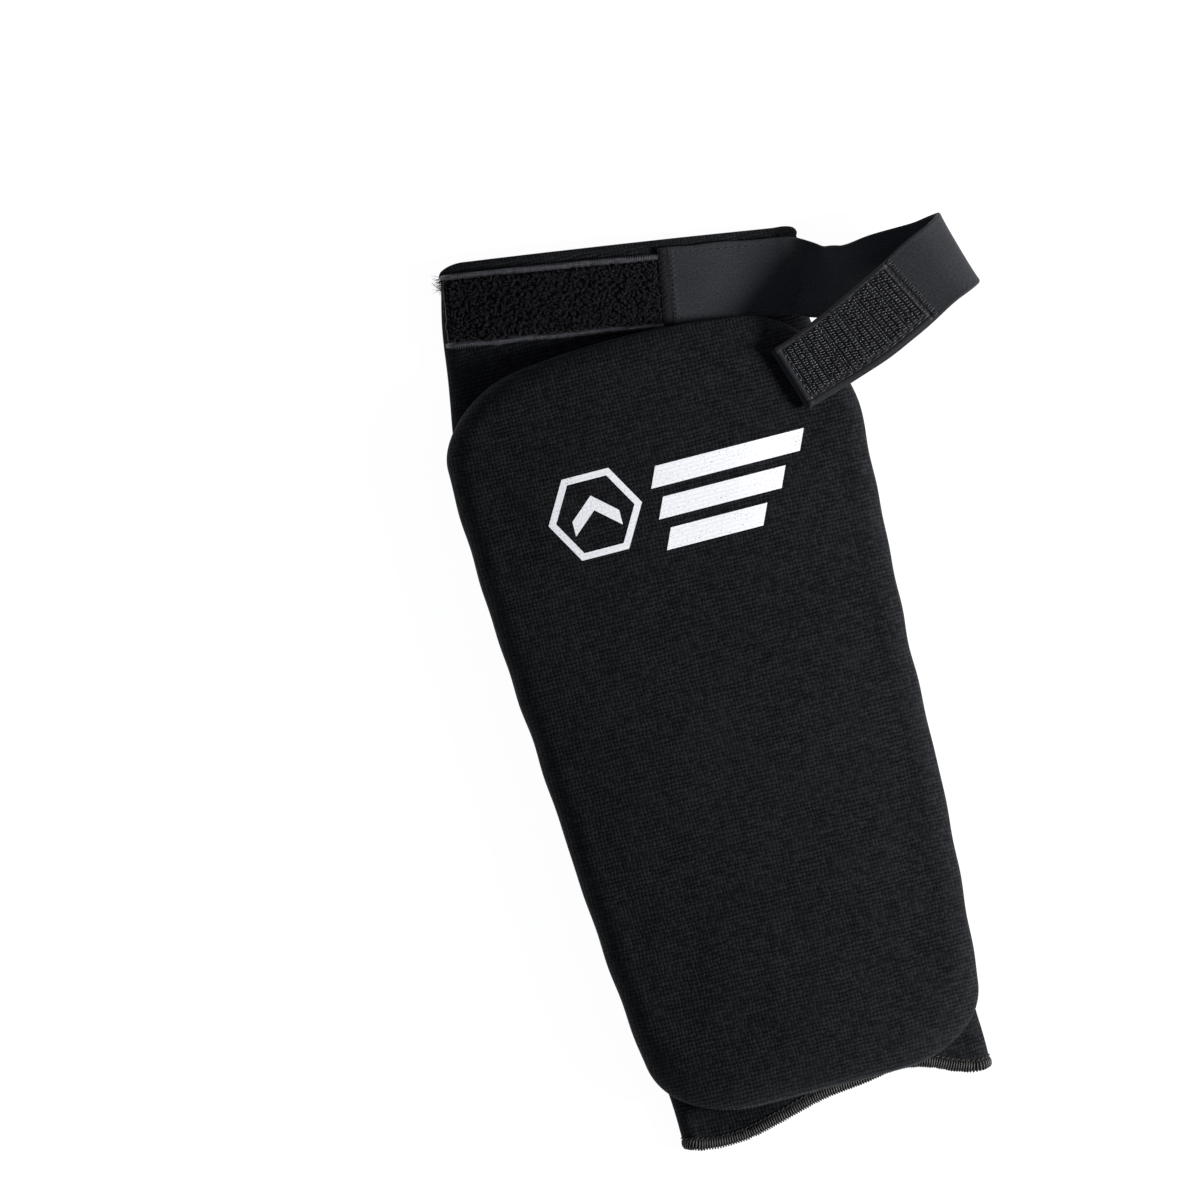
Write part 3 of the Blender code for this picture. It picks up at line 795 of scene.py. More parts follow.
@dataclass
class Sleeve:
    """The knit sleeve: front and back panels, side seams, elbow edge and overlocked wrist hem."""

    form: SleeveForm = SleeveForm()
    columns: int = 150
    rows: int = 230
    wrap_pitch: float = 0.86
    wrap_steps: int = 14
    hem_width: float = 3.9
    hem_height: float = 2.5

    def soften(self, points: np.ndarray, flat: np.ndarray, front: bool) -> np.ndarray:
        """Adds the soft unevenness of worn cloth, which dies out where the pad lies on it."""
        x, y = flat[..., 0], flat[..., 1]
        wrist = 1 - smooth(y, -148, -128)
        elbow = smooth(y, 112, 128)
        sides = smooth(np.abs(self.form.across(x, y)), 0.80, 1.0)
        calm = 0.12 + 0.88 * np.maximum(wrist, elbow)
        lift = ripple(x, y * 0.6, 26, 3 + front) * 0.22 * calm
        if front:
            lift += wrist * (0.9 * np.sin((x + 20) / 13.5) - 0.3) * (1 - sides)
            lift += np.exp(-(((y + 120) / 9) ** 2)) * np.exp(-(((np.abs(x) - 50) / 7) ** 2)) * 0.8
        else:
            lift = np.abs(lift) * (1 - sides) * 0.4
        moved = points.copy()
        moved[..., 2] += lift
        moved[..., 0] += ripple(x * 0.2, y, 34, 11) * 0.45 * sides * np.sign(x)
        return moved

    def panel(self, front: bool) -> None:
        """One knit panel."""
        u, v = np.meshgrid(np.linspace(-1, 1, self.columns), np.linspace(0, 1, self.rows))
        points, flat = self.form.panel(u, v, front)
        points = self.soften(points, flat, front)
        mesh = Mesh("sleeve_front" if front else "sleeve_back")
        mesh.shell(points if front else points[:, ::-1], flat if front else flat[:, ::-1], self.form.knit)
        piece = mesh.make(Finish.KNIT, 60)
        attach(piece, "guard")
        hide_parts("sleeve_front_panel" if front else "sleeve_back_panel")

    def opening(self, v: float, count: int) -> tuple[np.ndarray, np.ndarray]:
        """Points round an end of the sleeve, and the outward direction at each."""
        u = np.linspace(-1, 1, 400)
        loops = []
        for front in (True, False):
            points, flat = self.form.panel(u, np.full_like(u, v), front)
            points = self.soften(points, flat, front)
            loops.append(points if front else points[::-1])
        path = even_steps(np.concatenate(loops), count, closed=True)
        for _ in range(6):
            path = (np.roll(path, 1, axis=0) + 2 * path + np.roll(path, -1, axis=0)) / 4
        ahead = unit(np.roll(path, -1, axis=0) - np.roll(path, 1, axis=0))
        away = np.broadcast_to([0.0, -1.0 if v == 0 else 1.0, 0.0], ahead.shape)
        out = unit(away - (away * ahead).sum(-1, keepdims=True) * ahead)
        return path, out

    @staticmethod
    def lifted(path: np.ndarray, out: np.ndarray, height: float) -> tuple[np.ndarray, np.ndarray, np.ndarray]:
        """A hem's closed course, kept off the floor.

        Args:
            path: its points.
            out: the outward direction at each.
            height: the least height of its middle.

        Returns:
            The points, the directions ahead, and the directions across the hem's thickness.
        """
        core = np.column_stack([path[:, :2], np.maximum(path[:, 2], height)])
        ahead = unit(np.roll(core, -1, axis=0) - np.roll(core, 1, axis=0))
        return core, ahead, np.cross(out, ahead)

    @staticmethod
    def ring(out: np.ndarray, up: np.ndarray, wide: float, tall: float) -> tuple[np.ndarray, np.ndarray]:
        """The angles round a hem's section, and its points about the middle at each place along it."""
        angle = np.linspace(0, TURN, 13)
        across = out[:, None] * (np.cos(angle) * wide)[:, None]
        return angle, across + up[:, None] * (np.sin(angle) * tall)[:, None]

    def wrist_hem(self) -> None:
        """The overlocked hem: a core of turned cloth, thread wrapped over it, and a chain inside its edge."""
        count = 720
        path, out = self.opening(0.0, count)
        core, ahead, up = self.lifted(path + out * self.hem_width * 0.42, out, 1.35)
        angle, ring = self.ring(out, up, 0.36 * self.hem_width, 0.36 * self.hem_height)
        flat = np.stack(np.broadcast_arrays(np.arange(count)[:, None] * 0.3, angle * 2.0), axis=-1)
        base = Mesh("wrist_hem_core")
        base.grid(core[:, None] + ring, flat, wrap=True)
        core_piece = base.make(Finish.KNIT, 80)
        self.weld(core_piece)

        thread = Mesh("wrist_hem_wraps")
        self.wrap(thread, core, out, up, ahead)
        chain = StitchRow(1.5, 0.25, 0.2, 0.15)
        inner = core - out * (0.5 * self.hem_width + 0.1)
        for side in (1, -1):
            chain.sew(thread, inner + up * side * (0.5 * self.form.knit + 0.25), up * side, 0.5)
        wraps_piece = thread.make(Finish.HEM_THREAD, 80)
        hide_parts("wrist_overlock_hem")
        for piece in (core_piece, wraps_piece):
            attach(piece, "guard")

    def wrap(self, mesh: Mesh, core: np.ndarray, out: np.ndarray, up: np.ndarray, ahead: np.ndarray) -> None:
        """Winds one thread round the wrist hem.

        Args:
            mesh: what the thread is added to.
            core: the hem's middle, a closed course.
            out: the outward direction at each of its points.
            up: the direction across its thickness.
            ahead: the direction along it.
        """
        length = np.linalg.norm(np.roll(core, -1, axis=0) - core, axis=1).sum()
        steps = int(length / self.wrap_pitch) * self.wrap_steps
        at = np.arange(steps) / steps * len(core)
        place = np.arange(len(core) + 1)
        middle, side, rise = (
            np.stack([np.interp(at, place, np.append(row[:, k], row[0, k])) for k in range(3)], axis=1)
            for row in (core, out, up)
        )
        turns = np.arange(steps) / self.wrap_steps
        jitter = 1 + 0.05 * ripple(turns, np.zeros(steps), 3.0, 21)
        wide = (0.5 * self.hem_width - 0.25) * jitter
        tall = (0.5 * self.hem_height - 0.25) * jitter
        wraps = middle + side * (np.cos(turns * TURN) * wide)[:, None]
        wraps = wraps + rise * (np.sin(turns * TURN) * tall)[:, None]
        wraps[:, 2] = np.maximum(wraps[:, 2], 0.30)
        mesh.tubes(np.vstack([wraps, wraps[:1]])[None], 0.31, ahead[:1], 5)

    def elbow_edge(self) -> None:
        """The plain rolled edge at the elbow opening."""
        path, out = self.opening(1.0, 480)
        core, _, up = self.lifted(path + out, out, 1.25)
        angle, ring = self.ring(out, up, 1.2, 1.15)
        points = core[:, None] + ring
        flat = np.stack(np.broadcast_arrays(points[..., 0], points[..., 1] + angle), axis=-1)
        mesh = Mesh("elbow_edge")
        mesh.grid(points, flat, wrap=True, flip=True)
        piece = mesh.make(Finish.KNIT, 80)
        self.weld(piece)
        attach(piece, "guard")
        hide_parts("elbow_rolled_hem")

    @staticmethod
    def weld(piece: bpy.types.Object) -> None:
        """Joins the first and last column of a tube made as a grid."""
        weld = piece.modifiers.new("closed", "WELD")
        weld.merge_threshold = 0.00001

    def side_seams(self) -> None:
        """The thread along the sewn fold down each side."""
        for side, name in ((-1, "left"), (1, "right")):
            v = np.linspace(0.015, 0.985, 240)
            u = np.full_like(v, float(side))
            points, flat = self.form.panel(u, v, True)
            points = self.soften(points, flat, True)
            points[:, 2] = self.form.join_z
            out = np.tile([float(side), 0.0, 0.0], (len(points), 1))
            mesh = Mesh(f"side_seam_thread_{name}")
            StitchRow(2.2, 0.5, 0.16, 0.05).sew(mesh, points + out * (0.5 * self.form.knit - 0.16), out, 0.4)
            piece = mesh.make(Finish.THREAD)
            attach(piece, "guard")
            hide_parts(f"side_seam_{name}")

    def build(self) -> None:
        """Builds the sleeve."""
        self.panel(True)
        self.panel(False)
        self.side_seams()
        self.elbow_edge()
        self.wrist_hem()


# ---------------------------------------------------------------- pad


@dataclass
class Pad:
    """The foam pad in its knit cover, sewn to the front panel, with the printed mark on it."""

    form: SleeveForm = SleeveForm()
    wrist_y: float = -140.3
    elbow_y: float = 119.0
    corner_x: float = 30.0
    corner_y: float = 22.0
    strap_corner_y: float = 36.0
    top_sag: float = 0.0018
    thickness: float = 12.65
    cloth: float = 1.2
    round_out: float = 8.5
    wrist_soft: float = 12.0
    wrist_sink: float = 2.8
    round_up: float = 7.6
    tuck: float = 4.2
    puff_cap: float = 1.7
    rounded_share: float = 0.93
    columns: int = 151
    rows: int = 281
    left: tuple = ((-141, -54), (-110, -57.8), (-75, -61.2), (-22, -65), (54, -69.8), (98, -71), (120, -70))
    right: tuple = ((-141, 56), (-98, 59.6), (-57, 62.4), (0, 63.8), (55, 66.2), (90, 67.6), (120, 66.5))

    def plan(self, u: np.ndarray, v: np.ndarray) -> np.ndarray:
        """Outline of the pad seen from above, filled by u across and v along, each from -1 to 1."""
        y = (self.elbow_y + self.wrist_y) / 2 + v * (self.elbow_y - self.wrist_y) / 2
        from_end = np.minimum(self.elbow_y - y, y - self.wrist_y)
        left, right = through(self.left, y), through(self.right, y)
        left = left + self.corner(from_end, self.corner_y)
        right = right - self.corner(from_end, np.where(v > 0, self.strap_corner_y, self.corner_y))
        x = (left + right) / 2 + u * (right - left) / 2 + u * np.abs(u) * ripple(y * 0, y, 17, 61) * 0.22
        return np.stack([x, y - np.maximum(v, 0) * self.top_sag * (x + 5) ** 2], axis=-1)

    def corner(self, from_end: np.ndarray, reach: "float | np.ndarray") -> np.ndarray:
        """How far a rounded corner draws the outline in, at a distance from the pad's end."""
        bite = np.clip((reach - from_end) / reach, 0, 1)
        return self.corner_x * (1 - np.sqrt(np.maximum(1 - bite**2, 0)))

    def floor(self, x: np.ndarray, y: np.ndarray) -> np.ndarray:
        """Underside of the foam."""
        crown = through(self.form.crowns, y)
        return crown - (crown - self.form.shoulder_z) * 0.9 * self.form.across(x, y) ** 2 + 1.3

    def grid_of(self, columns: int, rows: int) -> tuple[np.ndarray, np.ndarray]:
        """The plan as a grid that crowds towards its edges, and how deep each point is inside the outline."""
        s = np.linspace(-1, 1, columns)
        t = np.linspace(-1, 1, rows)
        u = 0.55 * np.sin(s * math.pi / 2) + 0.45 * s
        v = 0.62 * np.sin(t * math.pi / 2) + 0.38 * t
        plan = self.plan(*np.meshgrid(u, v))
        border = self.border(plan)
        flat = plan.reshape(-1, 2)
        depth = np.full(len(flat), np.inf)
        for a, d in zip(border, np.roll(border, -1, axis=0) - border):
            share = np.clip(((flat - a) @ d) / max(d @ d, 1e-9), 0, 1)
            depth = np.minimum(depth, np.linalg.norm(flat - a - share[:, None] * d, axis=1))
        return plan, depth.reshape(plan.shape[:2])

    @staticmethod
    def border(grid: np.ndarray) -> np.ndarray:
        """The outer points of a grid, going round it once."""
        return np.concatenate([grid[0, :-1], grid[:-1, -1], grid[-1, :0:-1], grid[:0:-1, 0]])

    def softness(self, x: np.ndarray, y: np.ndarray) -> np.ndarray:
        """How soft the pad's edge is: 1 at the wrist end, and about a half under the strap's tab."""
        wrist = 1 - smooth(y, self.wrist_y + 4, self.wrist_y + 40)
        return np.maximum(wrist, 0.6 * smooth(x, 5, 45) * smooth(y, 84, 108))

    def raised(self, plan: np.ndarray, depth: np.ndarray) -> np.ndarray:
        """The pad's top over its plan: rounded edges, then the front panel's own curve."""
        x, y = plan[..., 0], plan[..., 1]
        soft = self.softness(x, y)
        near = np.clip(depth / (self.round_out + self.wrist_soft * soft), 0, 1)
        round_up = self.round_up + self.wrist_sink * soft
        rise = round_up * np.sqrt(1 - (1 - near) ** 2)
        belly = 0.5 * smooth(depth, 4, 45)
        lumps = ripple(x, y, 46, 5) * 0.16 * smooth(depth, 4, 22)
        z = self.floor(x, y) + self.thickness - round_up + rise + belly + lumps
        return np.stack([x, y, z], axis=-1)

    def puffed(self, columns: int = 31, rows: int = 57) -> np.ndarray:
        """How far a coarse pad cover rises where the foam presses it out, from a cloth simulation.

        Args:
            columns: points across the coarse cover.
            rows: points along it.

        Returns:
            A grid of rises, at most the cap.
        """
        plan, depth = self.grid_of(columns, rows)
        rest = self.raised(plan, depth)
        mesh = Mesh("cover_cloth")
        mesh.grid(rest, plan)
        cloth = mesh.make(Finish.KNIT)
        held = cloth.vertex_groups.new(name="held")
        held.add([int(i) for i in np.flatnonzero(depth.ravel() < 2.0)], 1.0, "REPLACE")
        dress = cloth.modifiers.new("cloth", "CLOTH")
        dress.settings.vertex_group_mass = "held"
        dress.settings.use_pressure = True
        dress.settings.uniform_pressure_force = 4.0
        dress.settings.tension_stiffness = 40
        dress.settings.shear_stiffness = 20
        dress.settings.bending_stiffness = 2
        dress.settings.effector_weights.gravity = 0
        dress.point_cache.frame_end = 20
        scene = bpy.context.scene
        for step in range(1, 21):
            scene.frame_set(step)
        shaped = cloth.evaluated_get(bpy.context.evaluated_depsgraph_get()).to_mesh()
        points = np.empty(len(shaped.vertices) * 3, np.float32)
        shaped.vertices.foreach_get("co", points)
        scene.frame_set(1)
        data = cloth.data
        bpy.data.objects.remove(cloth)
        bpy.data.meshes.remove(data)
        rise = points.reshape(rows, columns, 3)[..., 2] / MM - rest[..., 2]
        LOG.info("pad cover simulated: rises of %.2f to %.2f mm before the cap", rise.min(), rise.max())
        return self.puff_cap * np.tanh(np.maximum(rise, 0) / max(float(rise.max()), 1e-6) * 1.5)

    def cover(self) -> bpy.types.Object:
        """The knit cover, from its seam on the front panel up over the foam."""
        plan, depth = self.grid_of(self.columns, self.rows)
        top = self.raised(plan, depth)
        top[..., 2] += self.finer(self.puffed())
        mesh = Mesh("pad_cover_knit")
        mesh.grid(top, plan)
        number = np.arange(mesh.count).reshape(self.rows, self.columns, 1)
        seam = self.skirt(mesh, self.border(top), self.border(number)[:, 0])
        piece = mesh.make(Finish.KNIT, 80)
        thick = piece.modifiers.new("cloth", "SOLIDIFY")
        thick.thickness = self.cloth * MM
        thick.offset = -1
        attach(piece, "guard")
        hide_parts("pad_cover")
        return piece

    def finer(self, coarse: np.ndarray) -> np.ndarray:
        """A coarse grid of heights, read at the cover's own points."""
        rows, columns = coarse.shape
        across = np.linspace(0, columns - 1, self.columns)
        along = np.linspace(0, rows - 1, self.rows)
        half = np.array([np.interp(across, np.arange(columns), line) for line in coarse])
        return np.array([np.interp(along, np.arange(rows), line) for line in half.T]).T

    def skirt(self, mesh: Mesh, edge: np.ndarray, first: np.ndarray) -> np.ndarray:
        """Adds the cover's sides, from its top's edge down and in to the seam.

        Args:
            mesh: the cover's top alone.
            edge: the top's outer points, once round.
            first: their numbers in the mesh.

        Returns:
            The seam's places on the flat cloth.
        """
        ahead = unit(np.roll(edge, -1, axis=0) - np.roll(edge, 1, axis=0))[:, :2]
        out = np.stack([ahead[:, 1], -ahead[:, 0]], axis=1)
        for _ in range(12):
            out = unit(np.roll(out, 1, axis=0) + 2 * out + np.roll(out, -1, axis=0))
        drop = self.thickness - self.round_up - self.wrist_sink * self.softness(edge[:, 0], edge[:, 1]) - 0.9
        rings, flats = [], []
        for angle in np.radians(np.linspace(12, 84, 7)):
            place = edge[:, :2] - out * (self.tuck * (1 - math.cos(angle)))
            rings.append(np.column_stack([place, edge[:, 2] - drop * math.sin(angle)]))
            flats.append(edge[:, :2] + out * (drop * angle * 0.8)[:, None])
        under = np.concatenate(rings)
        number = np.vstack([first - mesh.count, np.arange(len(under)).reshape(-1, len(edge))])
        after = np.roll(number, -1, axis=1)
        sides = np.stack([number[:-1], number[1:], after[1:], after[:-1]], axis=-1).reshape(-1, 4)
        mesh.add(under, [sides], np.concatenate(flats))
        return flats[-1]

    def foam(self) -> None:
        """The foam under the cover."""
        plan, depth = self.grid_of(61, 113)
        centre = np.array([0.0, (self.elbow_y + self.wrist_y) / 2])
        inner = centre + (plan - centre) * np.array([0.965, 0.98])
        near = np.clip(depth / (9.0 + 15.0 * self.softness(inner[..., 0], inner[..., 1])), 0, 1)
        swell = np.sqrt(1 - (1 - near) ** 2)
        floor = self.floor(inner[..., 0], inner[..., 1])
        middle = floor + 5.4 - 2.6 * self.softness(inner[..., 0], inner[..., 1]) * (1 - near)
        top = np.dstack([inner, middle + 5.0 * swell])
        low = np.dstack([inner, middle - np.minimum(4.9, middle - floor - 0.4) * swell])
        mesh = Mesh("pad_foam")
        mesh.grid(top, plan)
        mesh.grid(low, plan, flip=True)
        piece = mesh.make(Finish.FOAM)
        Sleeve.weld(piece)
        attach(piece, "guard")
        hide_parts("foam_pad")

    def seam(self) -> None:
        """The stitches that hold the cover to the front panel, in the crease round the pad."""
        plan, _ = self.grid_of(self.columns, self.rows)
        edge = even_steps(self.border(plan), 640, closed=True)
        ahead = unit(np.roll(edge, -1, axis=0) - np.roll(edge, 1, axis=0))
        out = np.stack([ahead[:, 1], -ahead[:, 0]], axis=1)
        place = edge - out * (self.tuck + 0.6)
        x, y = place.T
        path = np.column_stack([place, np.minimum(self.form.top(x, y), self.floor(x, y)) + 0.95])
        mesh = Mesh("pad_seam_stitches")
        StitchRow(2.4, 0.5, 0.22, 0.1).sew(mesh, path, np.tile(UP, (len(path), 1)))
        piece = mesh.make(Finish.THREAD)
        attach(piece, "guard")
        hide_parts("pad_seam_thread")

    def build(self) -> bpy.types.Object:
        """Builds the pad.

        Returns:
            The cover, for the print to lie on.
        """
        self.foam()
        cover = self.cover()
        self.seam()
        return cover


@dataclass
class Print:
    """A plain mark printed in white on the pad: a hexagon round a chevron, and three slanted bars."""

    badge: tuple[float, float] = (-27.0, 64.0)
    hexagon: float = 16.0
    line: float = 2.6
    bar_left: float = -7.0
    bar_height: float = 7.0
    bar_slant: float = 0.45
    bars: tuple = (("upper", 67.5, 51.0), ("middle", 57.0, 42.0), ("lower", 46.5, 33.0))
    film: float = 0.12

    def laid(self, name: str, node: str, grids: list[np.ndarray], tree: BVHTree) -> None:
        """Lays flat patches on the cover as a thin film of ink.

        Args:
            name: the piece's name.
            node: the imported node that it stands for.
            grids: grids of flat points.
            tree: the cover's surface.
        """
        mesh = Mesh(name)
        for grid in grids:
            height = np.empty(grid.shape[:2])
            for index in np.ndindex(height.shape):
                x, y = grid[index] * MM
                hit = tree.ray_cast(Vector((x, y, 0.1)), Vector((0, 0, -1)))[0]
                height[index] = hit.z / MM + 0.10
            rough = 1 + 0.3 * ripple(grid[..., 0], grid[..., 1], 1.6, 8)
            mesh.shell(np.dstack([grid, height]), grid, self.film * rough)
        piece = mesh.make(Finish.INK, 60)
        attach(piece, "guard")
        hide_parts(node)

    @staticmethod
    def strip(inner: np.ndarray, outer: np.ndarray, length: int, width: int) -> np.ndarray:
        """A grid between two lines of points."""
        share = np.linspace(0, 1, width)[:, None, None]
        return even_steps(inner, length) * (1 - share) + even_steps(outer, length) * share

    def build(self, cover: bpy.types.Object) -> None:
        """Prints the mark on the cover."""
        graph = bpy.context.evaluated_depsgraph_get()
        tree = BVHTree.FromObject(cover, graph)
        centre = np.array(self.badge)
        corner = np.array([[math.cos(a), math.sin(a)] for a in np.radians(np.arange(0, 361, 60))])
        sides = []
        for a, b in zip(corner[:-1], corner[1:]):
            outer = centre + np.array([a, b]) * self.hexagon
            inner = centre + np.array([a, b]) * (self.hexagon - self.line)
            sides.append(self.strip(outer, inner, 26, 6))
        self.laid("print_mark_hexagon", "print_hexagon", sides, tree)
        legs = []
        for side in (-1, 1):
            low = centre + np.array([[side * 8.0, -5.6], [0.0, 1.4]])
            high = low + np.array([0.0, 5.0])
            turned = slice(None, None, -side)
            legs.append(self.strip(low[turned], high[turned], 24, 12))
        self.laid("print_mark_chevron", "print_chevron", legs, tree)
        for name, low, length in self.bars:
            lower = np.array([[self.bar_left, low], [self.bar_left + length, low]])
            upper = lower + np.array([self.bar_height * self.bar_slant, self.bar_height])
            grid = self.strip(lower, upper, int(length * 2), 16)
            self.laid(f"print_mark_bar_{name}", f"print_stripe_{name}", [grid], tree)


# ---------------------------------------------------------------- loop tape


@dataclass
class LoopTape:
    """The loop side of the closure, sewn across the front at the elbow end."""

    band: BandForm = BandForm()
    start: float = -58.4
    end: float = 12.9
    weave_end: float = 17.4
    low: float = -13.6
    high: float = 10.7
    base: float = 0.8
    clump: float = 1.0
    loops_each: int = 4

    def backing(self) -> None:
        """The woven base and its corded edges."""
        along = np.linspace(self.start, self.weave_end, 150)
        x, offset = np.meshgrid(along, np.linspace(self.low, self.high, 50))
        points = self.band.point(x, offset, 0.75 + ripple(x, offset, 22, 31) * 0.08)
        mesh = Mesh("loop_tape_weave")
        mesh.shell(points, np.stack([x, offset], axis=-1), self.base)
        # the woven base takes the pile bed's finish, with its painted shade
        piece = mesh.make(Finish.PILE_BED_PAINTED_SHADE)
        cords = Mesh("loop_tape_edges")
        for side, middle in ((1, self.high - 0.75), (-1, self.low + 0.75)):
            x = np.linspace(self.start - 0.2, self.end, 170)
            wander = ripple(x, x * 0, 15, 37 + side) * 0.16
            swell = 0.86 + 0.10 * ripple(x, x * 0, 4.5, 39 + side)
            path = self.band.point(x, middle + wander, 1.30)
            cords.tubes(path[None], swell, UP[None], 10)
            self.edge_weave(cords, middle, side)
        offset = np.linspace(self.low + 0.4, self.high - 0.4, 60)
        x = self.start + 0.25 + ripple(offset, offset * 0, 6, 35) * 0.18
        cords.tubes(self.band.point(x, offset, 1.15)[None], 0.34, UP[None], 7)
        edges = cords.make(Finish.SELVAGE, 70)
        for made in (piece, edges):
            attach(made, "guard")
        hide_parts("loop_tape_base")

    def edge_weave(self, mesh: Mesh, middle: float, side: int) -> None:
        """Weft turns over an edge cord.

        Args:
            mesh: what they are added to.
            middle: place of the cord across the tape.
            side: which edge it is.
        """
        x = np.arange(self.start + 0.4, self.end - 0.5, 0.8)
        t = np.linspace(0, 1, 7)
        offset = middle + side * (t - 0.5)[None, :] * 2.1
        lift = 1.14 + np.sin(t * math.pi)[None, :] * 1.0
        points = self.band.point(x[:, None] + t * 0.45, np.broadcast_to(offset, (len(x), 7)), lift)
        mesh.tubes(points, 0.17, np.array([[1.0, -0.16, 0.0]]), 5)

    def pile(self) -> None:
        """The pile: curled tufts over a dark bed, its darkness partly its own black and partly painted shade
        between the loops.
        """
        rng = np.random.default_rng(71)
        left, right, low, high = self.start + 1.5, self.end - 0.4, self.low + 1.7, self.high - 1.7
        self.pile_mat(left, right, low, high)
        columns = np.arange(left + 0.9, right - 0.3, self.clump)
        lines = np.arange(low + 0.7, high - 0.4, self.clump)
        cx, co = np.meshgrid(columns, lines)
        cx = cx + rng.normal(0, 0.30, cx.shape)
        co = co + rng.normal(0, 0.30, co.shape)
        keep = rng.random(cx.shape) < 0.94
        px, po = np.repeat(cx[keep], self.loops_each), np.repeat(co[keep], self.loops_each)
        count = len(px)
        tuft = np.repeat(rng.uniform(0.55, 1.15, int(keep.sum())), self.loops_each)
        swirl = rng.uniform(0, TURN, count)
        off = rng.uniform(0.05, 0.45, count)
        tall = rng.uniform(0.65, 1.30, count) * tuft
        wide = rng.uniform(0.18, 0.38, count)
        t = np.linspace(0, 1, 8)
        winding = rng.choice([-1.0, 1.0], count)[:, None] * rng.uniform(2.6, 4.6, count)[:, None]
        spin = swirl[:, None] + t * winding
        centre_x, centre_o = px + off * np.cos(swirl * 1.7), po + off * np.sin(swirl * 1.7)
        lx = np.clip(centre_x[:, None] + np.cos(spin) * wide[:, None], left - 0.2, right + 0.2)
        lo = np.clip(centre_o[:, None] + np.sin(spin) * wide[:, None], low - 0.2, high + 0.2)
        arch = np.sin(t * math.pi)[None, :] ** 0.8 * tall[:, None]
        points = self.band.point(lx, lo, 1.6 + arch)
        curls = Mesh("loop_pile_curls")
        hint = np.stack([np.cos(swirl * 3.1), np.sin(swirl * 3.1), np.full(count, 0.9)], axis=1)
        curls.tubes(points, 0.11 * (1.05 - 0.35 * np.abs(2 * t - 1)), unit(hint), 4)
        fuzz = curls.make(Finish.PILE, 180)
        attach(fuzz, "guard")

    def pile_mat(self, left: float, right: float, low: float, high: float) -> None:
        """The bed under the loops, dark in its own colour and darkened further with painted shade between the
        loops.

        Args:
            left: where it starts along the tape.
            right: where it ends.
            low: its lower edge across the tape.
            high: its upper edge.
        """
        x, offset = np.meshgrid(np.linspace(left, right, 220), np.linspace(low, high, 70))
        edge = np.minimum(smooth(x, left, left + 1.6), 1 - smooth(x, right - 1.2, right))
        edge = edge * np.minimum(smooth(offset, low, low + 1.3), 1 - smooth(offset, high - 1.3, high))
        tufts = ripple(x, offset, 2.0, 41, 14) * 0.24
        lift = 1.4 + edge * (0.35 + np.maximum(tufts, -0.3))
        mat = Mesh("loop_pile_mat")
        mat.shell(self.band.point(x, offset, lift), np.stack([x, offset], axis=-1), 0.3)
        # painted shade: the bed is darker than the loops' own black
        piece = mat.make(Finish.PILE_BED_PAINTED_SHADE, 80)
        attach(piece, "guard")
        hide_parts("loop_pile")

    def frayed_end(self) -> None:
        """Loose yarn at the tape's cut end, most of it at the upper corner."""
        rng = np.random.default_rng(83)
        count = 60
        t = np.linspace(0, 1, 7)
        corner = rng.random(count) < 0.6
        offset = np.where(corner, rng.uniform(5.0, self.high, count), rng.uniform(self.low, 5.0, count))
        length = np.where(corner, rng.uniform(1.2, 4.2, count), rng.uniform(0.4, 1.3, count))
        bend = rng.normal(0, 0.9, (count, 2))
        x = self.start + 0.3 - t[None, :] * length[:, None]
        side = offset[:, None] + t[None, :] ** 2 * bend[:, :1] * length[:, None] * 0.5
        lift = 1.2 - 0.5 * t[None, :] ** 2 + np.maximum(bend[:, 1:], -0.3) * t * 0.5
        points = self.band.point(x, side, lift)
        mesh = Mesh("loop_tape_fray")
        mesh.tubes(points, 0.13 * (1.15 - t), UP[None].repeat(count, 0), 4)
        piece = mesh.make(Finish.SELVAGE)
        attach(piece, "guard")

    def stitching(self) -> None:
        """The rows of stitches that hold the tape down."""
        x = np.linspace(self.start + 1.0, self.end - 0.5, 200)
        offset = np.linspace(self.low + 1.6, self.high - 1.6, 60)
        upper = self.band.point(x, np.full_like(x, self.high - 1.75), 1.45)
        lower = self.band.point(x, np.full_like(x, self.low + 1.75), 1.45)
        end = self.band.point(np.full_like(offset, self.start + 1.1), offset, 1.3)
        for path, row, slant, name in (
            (upper, StitchRow(1.3, 0.9, 0.2, 0.22), 0.0, "upper"),
            (lower, StitchRow(2.0, 0.8, 0.2, 0.22), 0.0, "lower"),
            (end, StitchRow(1.2, 0.6, 0.2, 0.2), 0.5, "end"),
        ):
            mesh = Mesh(f"loop_tape_{name}_stitches")
            row.sew(mesh, path, np.tile(UP, (len(path), 1)), slant)
            piece = mesh.make(Finish.THREAD)
            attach(piece, "guard")
            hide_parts(f"loop_tape_{name}_stitching")

    def build(self) -> None:
        """Builds the loop tape."""
        self.backing()
        self.pile()
        self.frayed_end()
        self.stitching()


# ---------------------------------------------------------------- strap


